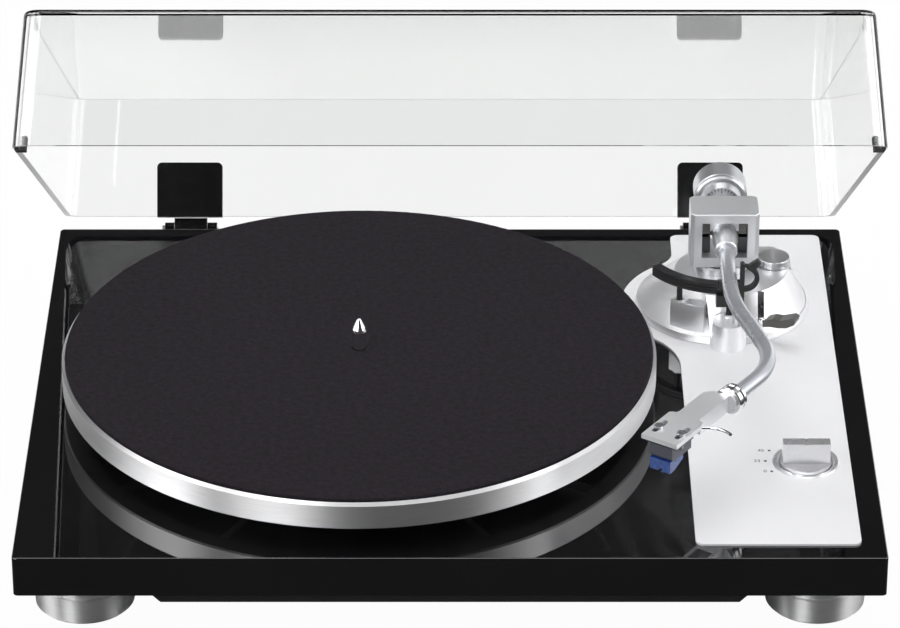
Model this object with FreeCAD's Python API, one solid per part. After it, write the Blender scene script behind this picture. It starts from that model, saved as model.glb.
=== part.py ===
import FreeCAD, Part
import math
import os

# Direct drive turntable with an S-shaped arm, in millimetres.
# Origin on the record spindle at the mat's top, +X to the right, +Y to the rear, +Z up.
# It stands as in use: arm on its rest, clear cover partly open.

# Plinth, a board that carries everything
PLINTH_W = 420.0
PLINTH_D = 336.0
PLINTH_T = 21.0
PLINTH_X = 45.8
PLINTH_Y = 8.0
PLINTH_TOP = -26.0
PLINTH_CORNER_R = 2.5
PLINTH_EDGE = 0.8
POCKET_HALF_W = 128.0
POCKET_FRONT = 120.0
POCKET_REAR = 148.0
POCKET_DEPTH = 13.0

# Deck plate, a thin panel with a round bulge about the arm
DECK_T = 1.0
DECK_LEFT = 164.0
DECK_RIGHT = 243.8
DECK_FRONT = -148.5
DECK_REAR = 167.0
DECK_CORNER_R = 4.0
BULGE_R = 52.5
BULGE_FRONT_R = 40.0
BULGE_REAR_R = 15.0

# Feet and bottom tray
FOOT_R = 24.8
FOOT_LOWER_R = 24.3
FOOT_H = 30.0
FOOT_X = 179.0
FOOT_Y = 125.0
FOOT_GROOVE = 1.4
PAD_R = 19.0
PAD_T = 2.5
PAD_SUNK = 1.5
FOOT_STUD_R = 3.0
FOOT_STUD_L = 10.0
TRAY_HALF_W = 147.1
TRAY_DEPTH = 7.4
TRAY_SETBACK = 6.0
TRAY_REAR = 150.0
TRAY_WALL = 1.5
TRAY_BOSS_R = 4.5
TRAY_BOSS_INSET = 13.6
TRAY_BOSS_END = 12.0

# Platter, mat and spindle
PLATTER_R = 150.0
PLATTER_TOP = -1.7
PLATTER_BOTTOM = -16.0
PLATTER_BEVEL = 1.5
PLATTER_SKIRT = 10.0
PLATTER_WEB = 4.0
PLATTER_HUB_R = 18.0
PLATTER_RIBS = 12
RIB_T = 3.0
RIB_H = 5.0
MAT_R = 148.2
MAT_T = 3.0
MAT_CLEARANCE = 0.2
SPINDLE_R = 3.55
SPINDLE_RELIEF = 0.35
SPINDLE_TIP = 16.5
SPINDLE_CONE = 6.0
SHAFT_R = 4.0
SHAFT_LENGTH = 32.0
SHAFT_FLANGE_R = 12.0
SPIGOT_R = 6.0
SPIGOT_H = 4.4
BEARING_CLEARANCE = 0.03

# Motor, a flat three-phase drive under the platter
MOTOR_PLATE_R = 70.0
MOTOR_PLATE_T = 2.0
BOARD_R = 58.0
BOARD_T = 1.6
COIL_COUNT = 9
COIL_PITCH_R = 42.0
COIL_R = 12.5
COIL_H = 3.0
AIR_GAP = 1.0
MAGNET_R = 56.0
MAGNET_HOLE_R = 30.0
MAGNET_T = 5.0
YOKE_T = 2.0
HOUSING_R = 9.5
HOUSING_FLANGE_R = 17.0

# Clear cover and its hinges
COVER_W = 414.0
COVER_D = 330.0
COVER_H = 65.5
COVER_WALL = 3.0
COVER_DRAFT = 4.75
COVER_CORNER_R = 9.0
COVER_GAP = 1.0
COVER_OPEN = 33.7
HINGE_X = 140.0
HINGE_BEHIND = 8.0
HINGE_BELOW = 6.0
CLIP_W = 35.0
CLIP_H = 29.0
CLIP_LEAF = 2.4
CLIP_CORNER_R = 2.6
KNUCKLE_R = 5.0
KNUCKLE_W = 28.0
KNUCKLE_EAR = 5.0
HINGE_PIN_R = 2.0
BUMPER_T = 0.8

# Tone arm: pivot, base casting and pillar
PIVOT_X = 188.0
PIVOT_Y = 91.0
ARM_Z = 18.0
FLANGE_R = 45.3
FLANGE_H = 4.0
CONE_FOOT_R = 43.6
CONE_TOP_R = 25.0
CONE_TOP_Z = -5.0
SHOULDER_TOP_R = 34.0
SHOULDER_TOP_Z = -2.0
SHOULDER_RIGHT = 235.0
SHOULDER_REAR = 20.0
PILLAR_R = 13.8
PILLAR_TOP = 2.0
PILLAR_LEDGE = -8.0
THREAD_R = 11.0
PILLAR_BORE_R = 9.0
PILLAR_BOTTOM = -45.0
NUT_FLATS = 30.0
NUT_T = 5.0
BEARING_T = 4.0

# Gimbal block, knife seats and arm yoke
GIMBAL_W = 35.5
GIMBAL_FRONT = -11.0
GIMBAL_REAR = 10.8
GIMBAL_BOTTOM = 2.4
GIMBAL_SEAM = 28.0
GIMBAL_TOP = 33.0
GIMBAL_CHAMFER = 2.0
WINDOW_W = 23.6
WINDOW_BOTTOM = 7.9
YAW_SHAFT_R = 4.0
SLEEVE_R = 5.75
YOKE_R = 6.5
SLEEVE_FRONT = 22.5
STUB_R = 5.0
STUB_END = 56.0
KNIFE_INNER = 6.8
KNIFE_OUTER = 11.4
BRIDGE_HALF = 4.0
BRIDGE_TOP = 26.2
KNIFE_EDGE = 15.9
SEAT_TOP = 17.0
CAP_EDGE = 0.4

# Arm tube, collar and headshell
TUBE_R = 4.0
TUBE_STRAIGHT = 57.0
FIRST_BEND_R = 120.0
FIRST_BEND = 16.3
MIDDLE_RUN = 30.0
SECOND_BEND_R = 43.0
OFFSET_ANGLE = 34.0
LAST_RUN = 19.8
COLLAR_R = 7.1
COLLAR_LIP_R = 6.5
PLUG_R = 5.2
SHELL_TOP = 21.8
SHELL_PLATE = 2.4
SHELL_NECK_W = 12.4
SHELL_NECK_L = 33.5
SHELL_W = 20.0
SHELL_L = 61.5
SHELL_SIDE = 9.0
SHELL_WALL = 2.0
SHELL_SHIFT = 5.3
SLOT_W = 3.0
SLOT_L = 12.5
SLOT_PITCH = 12.7
FINGER_BACK = 28.0
FINGER_R = 0.8

# Counterweight on the rear stub
WEIGHT_R = 14.0
WEIGHT_L = 18.2
WEIGHT_FRONT = 33.6
DIAL_R = 11.2
DIAL_T = 4.3
STUB_CLEARANCE = 0.05

# Lift, rest and clip in front of the pivot
LIFT_X = 189.2
LIFT_Y = 47.0
LIFT_FOOT_R = 9.4
LIFT_TOP_R = 8.3
LIFT_TOP_Z = -11.0
STEM_R = 1.6
BAR_IN_R = 39.5
BAR_OUT_R = 44.5
BAR_TOP = 10.2
BAR_H = 5.5
BAR_ANGLE = 58.0
POST_ANGLE = 36.6
POST_PITCH_R = 40.0
BLOCK_IN_R = 34.0
BLOCK_OUT_R = 42.5
BLOCK_TOP = -5.3
BLOCK_FROM = 16.0
BLOCK_TO = 42.0
REST_FRONT = 43.2
REST_T = 3.0
REST_BAR_X = 194.0
REST_BAR_W = 2.4
REST_TOP = 24.3
CLIP_PIN_X = 190.2
CLIP_PIN_Z = 11.2
CLIP_PIN_R = 1.0
CLIP_HUB_R = 1.7
CLIP_RING_X = 196.55
CLIP_RING_Z = 13.8
CLIP_RING_IN = 5.3
CLIP_RING_OUT = 7.6
CLIP_T = 3.0

# Cue lever, anti-skate knob and speed selector
LEVER_X = 206.3
LEVER_Y = 71.8
LEVER_Z = -16.8
LEVER_LOW = 172.0
LEVER_SWING = 44.0
LEVER_SLOT = 3.4
LEVER_REACH = 20.1
SKATE_X = 214.6
SKATE_Y = 93.0
SKATE_R = 8.7
SKATE_TOP = 2.0
SKATE_H = 6.4
DISH_X = 221.6
DISH_Y = -71.3
DISH_RIM_R = 16.6
DISH_R = 13.3
DISH_DEPTH = 3.0
KNOB_R = 12.9
KNOB_TOP = -12.5
KNOB_BLADE = 4.5

# Drive board in the plinth's pocket
BOARD_LEFT = 72.0
BOARD_RIGHT = 150.0
BOARD_FRONT = -60.0
BOARD_REAR = -12.0
BOARD_HANG = 4.0
BOARD_SCREW_INSET = 4.0

# Rear panel
PANEL_W = 120.0
PANEL_H = 13.4
PANEL_T = 1.5
PANEL_BACK = 8.0
JACK_R = 4.15
JACK_PITCH = 18.0

# Small hardware
SCREW_R = 1.5
SCREW_HEAD_R = 2.8
SCREW_HEAD_H = 1.6
SCREW_PLAY = 0.1
FIT_GAP = 0.3

# Worked out from the sizes above
DECK_TOP = PLINTH_TOP + DECK_T
PLINTH_BOTTOM = PLINTH_TOP - PLINTH_T
PLINTH_FRONT = PLINTH_Y - PLINTH_D / 2
PLINTH_REAR = PLINTH_Y + PLINTH_D / 2
POCKET_TOP = PLINTH_BOTTOM + POCKET_DEPTH
FLOOR_Z = PLINTH_BOTTOM - FOOT_H
TRAY_BOTTOM = PLINTH_BOTTOM - TRAY_DEPTH
PLATE_BOTTOM = PLINTH_TOP - MOTOR_PLATE_T
COIL_TOP = PLINTH_TOP + BOARD_T + COIL_H
MAGNET_BOTTOM = COIL_TOP + AIR_GAP
YOKE_BOTTOM = MAGNET_BOTTOM + MAGNET_T
YOKE_TOP = YOKE_BOTTOM + YOKE_T
HINGE_Y = PLINTH_REAR + HINGE_BEHIND
HINGE_Z = PLINTH_TOP - HINGE_BELOW
RIM_Z = PLINTH_TOP + COVER_GAP
FLANGE_TOP = DECK_TOP + FLANGE_H
CORNERS = [(-1, -1), (1, -1), (-1, 1), (1, 1)]
CORNER_NAMES = ["front_left", "front_right", "rear_left", "rear_right"]
SIDES = {"left": -1, "right": 1}


def vec(x, y, z):
    return FreeCAD.Vector(x, y, z)


UP = vec(0, 0, 1)
ACROSS = vec(1, 0, 0)
REARWARD = vec(0, 1, 0)


def box(x0, x1, y0, y1, z0, z1):
    return Part.makeBox(x1 - x0, y1 - y0, z1 - z0, vec(x0, y0, z0))


def post(r, z0, z1, x=0.0, y=0.0):
    """Upright cylinder from z0 to z1."""
    return Part.makeCylinder(r, z1 - z0, vec(x, y, z0), UP)


def ring(r_out, r_in, z0, z1, x=0.0, y=0.0):
    return post(r_out, z0, z1, x, y).cut(post(r_in, z0, z1, x, y))


def rod(r, start, end):
    """Round bar between two points."""
    along = end - start
    return Part.makeCylinder(r, along.Length, start, along)


def taper(r0, r1, z0, z1, x=0.0, y=0.0):
    return Part.makeCone(r0, r1, z1 - z0, vec(x, y, z0), UP)


def polygon(points):
    return Part.Face(Part.makePolygon(points + [points[0]]))


def turned(profile, x=0.0, y=0.0):
    """Solid turned about an upright axis from (radius, height) points."""
    face = polygon([vec(x + r, y, z) for r, z in profile])
    return face.revolve(vec(x, y, 0), UP, 360)


def turned_along(profile, x, z):
    """Solid turned about a front-to-rear axis from (radius, y) points."""
    face = polygon([vec(x + r, y, z) for r, y in profile])
    return face.revolve(vec(x, 0, z), REARWARD, 360)


def plan(points, z0, z1):
    """Upright prism on a plan outline."""
    return polygon([vec(x, y, z0) for x, y in points]).extrude(vec(0, 0, z1 - z0))


def front_view(points, y0, y1):
    """Prism from an outline of (x, z) points, from y0 back to y1."""
    return polygon([vec(x, y0, z) for x, z in points]).extrude(vec(0, y1 - y0, 0))


def side_view(points, x0, x1):
    """Prism from an outline of (y, z) points, from x0 to x1."""
    return polygon([vec(x0, y, z) for y, z in points]).extrude(vec(x1 - x0, 0, 0))


def fuse(*shapes):
    whole = shapes[0].fuse(list(shapes[1:]))
    return whole.removeSplitter()


def group(shapes):
    return Part.makeCompound(shapes)


def polar(r, degrees, x=0.0, y=0.0):
    """Point at a radius and an angle from +X."""
    turn = math.radians(degrees)
    return x + r * math.cos(turn), y + r * math.sin(turn)


def around_pivot(r, degrees):
    """Plan point at a radius from the arm's pivot, angle taken from the front towards the left."""
    return polar(r, -90 - degrees, PIVOT_X, PIVOT_Y)


def sector(r_in, r_out, from_deg, to_deg, z0, z1):
    """Part of a ring about the arm's pivot, angles from the front towards the left."""
    blank = Part.makeCylinder(r_out, z1 - z0, vec(PIVOT_X, PIVOT_Y, z0), UP, to_deg - from_deg)
    blank.rotate(vec(PIVOT_X, PIVOT_Y, 0), UP, -90 - to_deg)
    return blank.cut(post(r_in, z0, z1, PIVOT_X, PIVOT_Y))


def hexagon(flats, z0, z1, x, y):
    """Upright hexagonal prism of a given size across flats."""
    return plan([polar(flats / math.sqrt(3), 60 * i, x, y) for i in range(6)], z0, z1)


def pan_screw(x, y, seat_z, length, up=True):
    """Pan head screw whose head stands on seat_z, up or down."""
    way = 1 if up else -1
    head = Part.makeCone(SCREW_HEAD_R, SCREW_HEAD_R * 0.75, SCREW_HEAD_H, vec(x, y, seat_z), vec(0, 0, way))
    shank = Part.makeCylinder(SCREW_R, length, vec(x, y, seat_z), vec(0, 0, -way))
    return fuse(head, shank)


def screw_hole(x, y, z0, z1):
    return post(SCREW_R + SCREW_PLAY, z0, z1, x, y)


def foot_places():
    return [(PLINTH_X + sx * FOOT_X, PLINTH_Y + sy * FOOT_Y) for sx, sy in CORNERS]


def tray_screw_places():
    """Three screws down each side of the tray and one in the middle of its front."""
    across = TRAY_HALF_W - TRAY_BOSS_INSET
    front = PLINTH_FRONT + TRAY_SETBACK + TRAY_BOSS_END
    rear = PLINTH_Y + TRAY_REAR - TRAY_BOSS_END
    sides = [(PLINTH_X + s * across, y) for s in (-1, 1) for y in (front, PLINTH_Y, rear)]
    return sides + [(PLINTH_X, front + 9.0)]


def motor_screw_places():
    return [polar(MOTOR_PLATE_R - 5.0, 60 * i + 30) for i in range(6)]


def housing_screw_places():
    return [polar(13.3, 120 * i + 90) for i in range(3)]


def make_plinth():
    x0 = PLINTH_X - PLINTH_W / 2
    board = box(x0, x0 + PLINTH_W, PLINTH_FRONT, PLINTH_REAR, PLINTH_BOTTOM, PLINTH_TOP)
    uprights = [e for e in board.Edges if abs(e.Vertexes[0].X - e.Vertexes[1].X) < 1e-6
                and abs(e.Vertexes[0].Y - e.Vertexes[1].Y) < 1e-6]
    board = board.makeFillet(PLINTH_CORNER_R, uprights)
    rim = [e for e in board.Edges if abs(e.BoundBox.ZMin - PLINTH_TOP) < 1e-6]
    board = board.makeFillet(PLINTH_EDGE, rim)
    pocket = box(PLINTH_X - POCKET_HALF_W, PLINTH_X + POCKET_HALF_W, PLINTH_Y - POCKET_FRONT,
                 PLINTH_Y + POCKET_REAR, PLINTH_BOTTOM, POCKET_TOP)
    cuts = [pocket]
    cuts.append(post(MOTOR_PLATE_R + FIT_GAP, PLATE_BOTTOM, PLINTH_TOP))
    cuts.append(post(MOTOR_PLATE_R - 10.0, POCKET_TOP, PLATE_BOTTOM))
    for x, y in motor_screw_places():
        cuts.append(screw_hole(x, y, PLATE_BOTTOM - 5.0, PLATE_BOTTOM))
    cuts.append(post(THREAD_R + 0.5, PLINTH_BOTTOM, PLINTH_TOP, PIVOT_X, PIVOT_Y))
    cuts.append(post(NUT_FLATS * 0.64, PLINTH_BOTTOM, PILLAR_BOTTOM + NUT_T + 1.0, PIVOT_X, PIVOT_Y))
    dish_bottom = DECK_TOP - DISH_DEPTH - 1.0
    cuts.append(post(DISH_R + 1.2, dish_bottom, PLINTH_TOP, DISH_X, DISH_Y))
    cuts.append(post(10.5, dish_bottom - 13.5, dish_bottom, DISH_X, DISH_Y))
    panel_z = rear_panel_z()
    seat = PLINTH_REAR - PANEL_BACK
    half = PANEL_W / 2 + FIT_GAP
    cuts.append(box(PLINTH_X - half, PLINTH_X + half, seat, PLINTH_REAR,
                    panel_z - PANEL_H / 2 - FIT_GAP, panel_z + PANEL_H / 2 + FIT_GAP))
    cuts.append(box(PLINTH_X - half + 6.0, PLINTH_X + half - 6.0, PLINTH_Y + POCKET_REAR, seat,
                    PLINTH_BOTTOM + 4.0, panel_z + 5.6))
    for x, y in foot_places():
        cuts.append(post(FOOT_STUD_R + SCREW_PLAY, PLINTH_BOTTOM, PLINTH_BOTTOM + FOOT_STUD_L + 1.0, x, y))
    for x, y in tray_screw_places():
        cuts.append(screw_hole(x, y, PLINTH_BOTTOM, PLINTH_BOTTOM + 8.0))
    for side in SIDES.values():
        for x in hinge_screw_xs(side):
            cuts.append(rod(SCREW_R + SCREW_PLAY, vec(x, PLINTH_REAR - 9.0, HINGE_Z - 6.0),
                            vec(x, PLINTH_REAR, HINGE_Z - 6.0)))
    return board.cut(cuts)


def deck_outline():
    """Straight left edge that runs through two hollow arcs into the bulge about the pivot."""
    def hollow(r, side):
        reach = PIVOT_X - (DECK_LEFT - r)
        cy = PIVOT_Y + side * math.sqrt((BULGE_R + r) ** 2 - reach ** 2)
        centre = vec(DECK_LEFT - r, cy, 0)
        pivot = vec(PIVOT_X, PIVOT_Y, 0)
        on_bulge = pivot + (centre - pivot) * (BULGE_R / (BULGE_R + r))
        on_edge = vec(DECK_LEFT, cy, 0)
        middle = (on_bulge + on_edge) * 0.5 - centre
        middle.normalize()
        return on_edge, centre + middle * r, on_bulge

    front_edge, front_mid, front_bulge = hollow(BULGE_FRONT_R, -1)
    rear_edge, rear_mid, rear_bulge = hollow(BULGE_REAR_R, 1)
    leftmost = vec(PIVOT_X - BULGE_R, PIVOT_Y, 0)
    r = DECK_CORNER_R
    k = r * (1 - math.sqrt(0.5))
    left, right, front, rear = DECK_LEFT, DECK_RIGHT, DECK_FRONT, DECK_REAR
    line = Part.LineSegment
    arc = Part.Arc
    return [
        line(front_edge, vec(left, front + r, 0)),
        arc(vec(left, front + r, 0), vec(left + k, front + k, 0), vec(left + r, front, 0)),
        line(vec(left + r, front, 0), vec(right - r, front, 0)),
        arc(vec(right - r, front, 0), vec(right - k, front + k, 0), vec(right, front + r, 0)),
        line(vec(right, front + r, 0), vec(right, rear - r, 0)),
        arc(vec(right, rear - r, 0), vec(right - k, rear - k, 0), vec(right - r, rear, 0)),
        line(vec(right - r, rear, 0), vec(left + r, rear, 0)),
        arc(vec(left + r, rear, 0), vec(left + k, rear - k, 0), vec(left, rear - r, 0)),
        line(vec(left, rear - r, 0), rear_edge),
        arc(rear_edge, rear_mid, rear_bulge),
        arc(rear_bulge, leftmost, front_bulge),
        arc(front_bulge, front_mid, front_edge),
    ]


def make_deck_plate():
    wire = Part.Wire([curve.toShape() for curve in deck_outline()])
    plate = Part.Face(wire).extrude(vec(0, 0, DECK_T))
    plate.translate(vec(0, 0, PLINTH_TOP))
    holes = [post(THREAD_R + 0.5, PLINTH_TOP, DECK_TOP, PIVOT_X, PIVOT_Y),
             post(DISH_R + 1.2, PLINTH_TOP, DECK_TOP, DISH_X, DISH_Y)]
    return plate.cut(holes)


def make_foot(x, y):
    top = PLINTH_BOTTOM
    mid = top - FOOT_H * 0.47
    low = FLOOR_Z + PAD_T - PAD_SUNK
    body = turned([
        (0, top), (FOOT_R - 1.0, top), (FOOT_R, top - 1.0), (FOOT_R, mid + 0.9),
        (FOOT_R - FOOT_GROOVE, mid + 0.3), (FOOT_R - FOOT_GROOVE, mid - 0.3), (FOOT_R, mid - 0.9),
        (FOOT_LOWER_R, low + 1.5), (FOOT_LOWER_R - 1.5, low), (0, low)], x, y)
    stud = post(FOOT_STUD_R, top, top + FOOT_STUD_L, x, y)
    return fuse(body, stud).cut(post(PAD_R + FIT_GAP, low, low + PAD_SUNK, x, y))


def make_foot_pad(x, y):
    pad = post(PAD_R, FLOOR_Z, FLOOR_Z + PAD_T, x, y)
    edges = [e for e in pad.Edges if abs(e.BoundBox.ZMax - FLOOR_Z) < 1e-6]
    return pad.makeChamfer(0.5, edges)


def make_bottom_tray():
    """Shallow pan with ends that slope in at 45 degrees and cups for its screws."""
    def pan(inset, floor):
        top = TRAY_HALF_W - inset * math.sqrt(2)
        foot = top - (PLINTH_BOTTOM - floor)
        outline = [(PLINTH_X - top, PLINTH_BOTTOM), (PLINTH_X - foot, floor),
                   (PLINTH_X + foot, floor), (PLINTH_X + top, PLINTH_BOTTOM)]
        return front_view(outline, PLINTH_FRONT + TRAY_SETBACK + inset, PLINTH_Y + TRAY_REAR - inset)

    tray = pan(0.0, TRAY_BOTTOM).cut(pan(TRAY_WALL, TRAY_BOTTOM + TRAY_WALL))
    boss_low = TRAY_BOTTOM + TRAY_WALL / 2
    bosses = [post(TRAY_BOSS_R, boss_low, PLINTH_BOTTOM, x, y) for x, y in tray_screw_places()]
    tray = fuse(tray, *bosses)
    cuts = []
    for x, y in tray_screw_places():
        cuts.append(screw_hole(x, y, TRAY_BOTTOM, PLINTH_BOTTOM))
        cuts.append(post(SCREW_HEAD_R + FIT_GAP, TRAY_BOTTOM, TRAY_BOTTOM + 4.5, x, y))
    for i in range(-3, 4):
        x = PLINTH_X + 10.0 * i
        cuts.append(box(x - 1.5, x + 1.5, PLINTH_Y + 85.0, PLINTH_Y + 115.0,
                        TRAY_BOTTOM, TRAY_BOTTOM + TRAY_WALL))
    return tray.cut(cuts)


def tray_screws():
    return [pan_screw(x, y, TRAY_BOTTOM + 4.5, 9.5, up=False) for x, y in tray_screw_places()]


def make_motor_plate():
    plate = post(MOTOR_PLATE_R, PLATE_BOTTOM, PLINTH_TOP)
    cuts = [post(HOUSING_R + 0.1, PLATE_BOTTOM, PLINTH_TOP)]
    for x, y in motor_screw_places() + housing_screw_places():
        cuts.append(screw_hole(x, y, PLATE_BOTTOM, PLINTH_TOP))
    return plate.cut(cuts)


def motor_screws():
    outer = [pan_screw(x, y, PLINTH_TOP, MOTOR_PLATE_T + 4.0) for x, y in motor_screw_places()]
    inner = [pan_screw(x, y, PLINTH_TOP + 2.0, 5.0) for x, y in housing_screw_places()]
    return outer + inner


def make_stator_board():
    return ring(BOARD_R, HOUSING_FLANGE_R + 1.0, PLINTH_TOP, PLINTH_TOP + BOARD_T)


def make_stator_coils():
    """Flat wound coils in a circle, each a rounded ring on the board."""
    coils = []
    for i in range(COIL_COUNT):
        x, y = polar(COIL_PITCH_R, 360.0 * i / COIL_COUNT)
        coils.append(ring(COIL_R, COIL_R * 0.4, PLINTH_TOP + BOARD_T, COIL_TOP, x, y))
    return group(coils)


def make_bearing_housing():
    """Flanged sleeve that hangs through the motor plate, closed below by the thrust seat."""
    low = thrust_z() - 3.5
    sleeve = turned([
        (SHAFT_R + BEARING_CLEARANCE, low + 2.0), (SHAFT_R + BEARING_CLEARANCE, YOKE_BOTTOM - 3.0),
        (HOUSING_R - 1.0, YOKE_BOTTOM - 3.0), (HOUSING_R, YOKE_BOTTOM - 4.0), (HOUSING_R, PLINTH_TOP + 2.0),
        (HOUSING_FLANGE_R, PLINTH_TOP + 2.0), (HOUSING_FLANGE_R, PLINTH_TOP), (HOUSING_R, PLINTH_TOP),
        (HOUSING_R, low + 1.0), (HOUSING_R - 1.0, low), (0, low), (0, low + 2.0)])
    return sleeve.cut([screw_hole(x, y, PLINTH_TOP, PLINTH_TOP + 2.0) for x, y in housing_screw_places()])


def thrust_z():
    """Height of the shaft's rounded lower end."""
    return YOKE_BOTTOM - SHAFT_LENGTH


def make_thrust_pad():
    low = thrust_z() - 1.5
    return post(SHAFT_R, low, thrust_z())


def make_rotor_magnet():
    return ring(MAGNET_R, MAGNET_HOLE_R, MAGNET_BOTTOM, YOKE_BOTTOM)


def make_rotor_yoke():
    """Steel disc with a short drawn wall round the magnet, centred on the spindle's spigot."""
    disc = post(MAGNET_R + 2.0, YOKE_BOTTOM, YOKE_TOP)
    wall = ring(MAGNET_R + 2.0, MAGNET_R + 0.2, YOKE_BOTTOM - 2.5, YOKE_BOTTOM)
    return fuse(disc, wall).cut(post(SPIGOT_R + 0.05, YOKE_BOTTOM, YOKE_TOP))


def make_spindle_shaft():
    groove = SPINDLE_TIP - SPINDLE_CONE
    return turned([
        (0, thrust_z()), (SHAFT_R - 1.5, thrust_z()), (SHAFT_R, thrust_z() + 1.5),
        (SHAFT_R, YOKE_BOTTOM - 2.0), (SHAFT_FLANGE_R, YOKE_BOTTOM - 2.0),
        (SHAFT_FLANGE_R, YOKE_BOTTOM), (SPIGOT_R, YOKE_BOTTOM),
        (SPIGOT_R, YOKE_TOP + SPIGOT_H), (SPINDLE_R - SPINDLE_RELIEF, YOKE_TOP + SPIGOT_H),
        (SPINDLE_R - SPINDLE_RELIEF, 0), (SPINDLE_R, 0),
        (SPINDLE_R, groove - 1.0),
        (SPINDLE_R - 0.8, groove - 0.6), (SPINDLE_R - 0.8, groove - 0.2), (SPINDLE_R, groove + 0.4),
        (SPINDLE_R - 0.4, groove + 1.4),
        (1.0, SPINDLE_TIP - 0.4), (0.4, SPINDLE_TIP), (0, SPINDLE_TIP)])


def make_platter():
    """Turned casting: bevelled rim, deep skirt, flat web for the mat and ribs out from the hub."""
    r = PLATTER_R
    b = PLATTER_BEVEL
    web_top = -MAT_T
    web_low = web_top - PLATTER_WEB
    inner = r - PLATTER_SKIRT
    hole = SPINDLE_R + 0.05
    socket = YOKE_TOP + SPIGOT_H + 0.1
    body = turned([
        (hole, web_top), (MAT_R + MAT_CLEARANCE, web_top), (MAT_R + MAT_CLEARANCE, PLATTER_TOP),
        (r - b, PLATTER_TOP), (r, PLATTER_TOP - b), (r, PLATTER_BOTTOM + 0.8), (r - 0.8, PLATTER_BOTTOM),
        (inner, PLATTER_BOTTOM), (inner, web_low), (PLATTER_HUB_R, web_low), (PLATTER_HUB_R, YOKE_TOP),
        (SPIGOT_R + 0.05, YOKE_TOP), (SPIGOT_R + 0.05, socket), (hole, socket)])
    ribs = []
    for i in range(PLATTER_RIBS):
        rib = box(PLATTER_HUB_R - 0.5, inner + 0.5, -RIB_T / 2, RIB_T / 2, web_low - RIB_H, web_low)
        rib.rotate(vec(0, 0, 0), UP, 360.0 * i / PLATTER_RIBS)
        ribs.append(rib)
    return fuse(body, *ribs)


def make_mat():
    mat = ring(MAT_R, SPINDLE_R + 0.25, -MAT_T, 0.0)
    rim = [e for e in mat.Edges if abs(e.BoundBox.ZMin) < 1e-6 and e.Length > 6 * MAT_R]
    return mat.makeFillet(0.6, rim)


def rounded_rectangle(half_w, half_d, r, z):
    """Closed wire centred on the plinth."""
    cx, cy = PLINTH_X, PLINTH_Y
    k = r * (1 - math.sqrt(0.5))
    edges = []
    turns = [(1, -1), (1, 1), (-1, 1), (-1, -1)]
    for i, (sx, sy) in enumerate(turns):
        corner = vec(cx + sx * half_w, cy + sy * half_d, z)
        on_side = corner - vec(0, sy * r, 0)
        on_end = corner - vec(sx * r, 0, 0)
        middle = corner - vec(sx * k, sy * k, 0)
        first, last = (on_end, on_side) if sx * sy < 0 else (on_side, on_end)
        edges.append((first, middle, last))
    shapes = []
    for i in range(4):
        first, middle, last = edges[i]
        shapes.append(Part.Arc(first, middle, last).toShape())
        shapes.append(Part.LineSegment(last, edges[(i + 1) % 4][0]).toShape())
    return Part.Wire(shapes)


def make_dust_cover():
    """Moulded box with drafted walls, open below, drawn closed and then opened."""
    def shell(inset, top):
        corner_r = COVER_CORNER_R - inset
        low = rounded_rectangle(COVER_W / 2 - inset, COVER_D / 2 - inset, corner_r, RIM_Z)
        shrink = inset + COVER_DRAFT
        high = rounded_rectangle(COVER_W / 2 - shrink, COVER_D / 2 - shrink, corner_r, top)
        return Part.makeLoft([low, high], True, True)

    outer = shell(0.0, RIM_Z + COVER_H)
    top_edges = [e for e in outer.Edges if abs(e.BoundBox.ZMin - RIM_Z - COVER_H) < 1e-4]
    outer = outer.makeFillet(2.5, top_edges)
    cover = outer.cut(shell(COVER_WALL, RIM_Z + COVER_H - COVER_WALL))
    return opened(cover)


def opened(shape):
    """Turn a piece of the closed cover up about the hinge axis."""
    moved = shape.copy()
    moved.rotate(vec(0, HINGE_Y, HINGE_Z), vec(-1, 0, 0), COVER_OPEN)
    return moved


def make_bumpers():
    """Rubber pads under the rim at its two front corners."""
    pads = []
    for sx, sy in CORNERS[:2]:
        x_out = PLINTH_X + sx * (COVER_W / 2 - COVER_WALL - 0.1)
        y_at = PLINTH_Y + sy * (COVER_D / 2 - 18.0)
        x_rim = PLINTH_X + sx * (COVER_W / 2 - 0.6)
        x_in = x_out - sx * 2.6
        inner = box(min(x_in, x_out), max(x_in, x_out), y_at - 5.0, y_at + 5.0,
                    RIM_Z - BUMPER_T, RIM_Z + 6.0)
        foot = box(min(x_in, x_rim), max(x_in, x_rim), y_at - 5.0, y_at + 5.0, RIM_Z - BUMPER_T, RIM_Z)
        lean = math.degrees(math.atan(COVER_DRAFT / COVER_H))
        inner.rotate(vec(x_out, 0, RIM_Z), vec(0, -sx, 0), lean)
        pad = fuse(inner.common(box(x_out - 20, x_out + 20, y_at - 9, y_at + 9, RIM_Z, RIM_Z + 9)), foot)
        pads.append(opened(pad))
    return group(pads)


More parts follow.
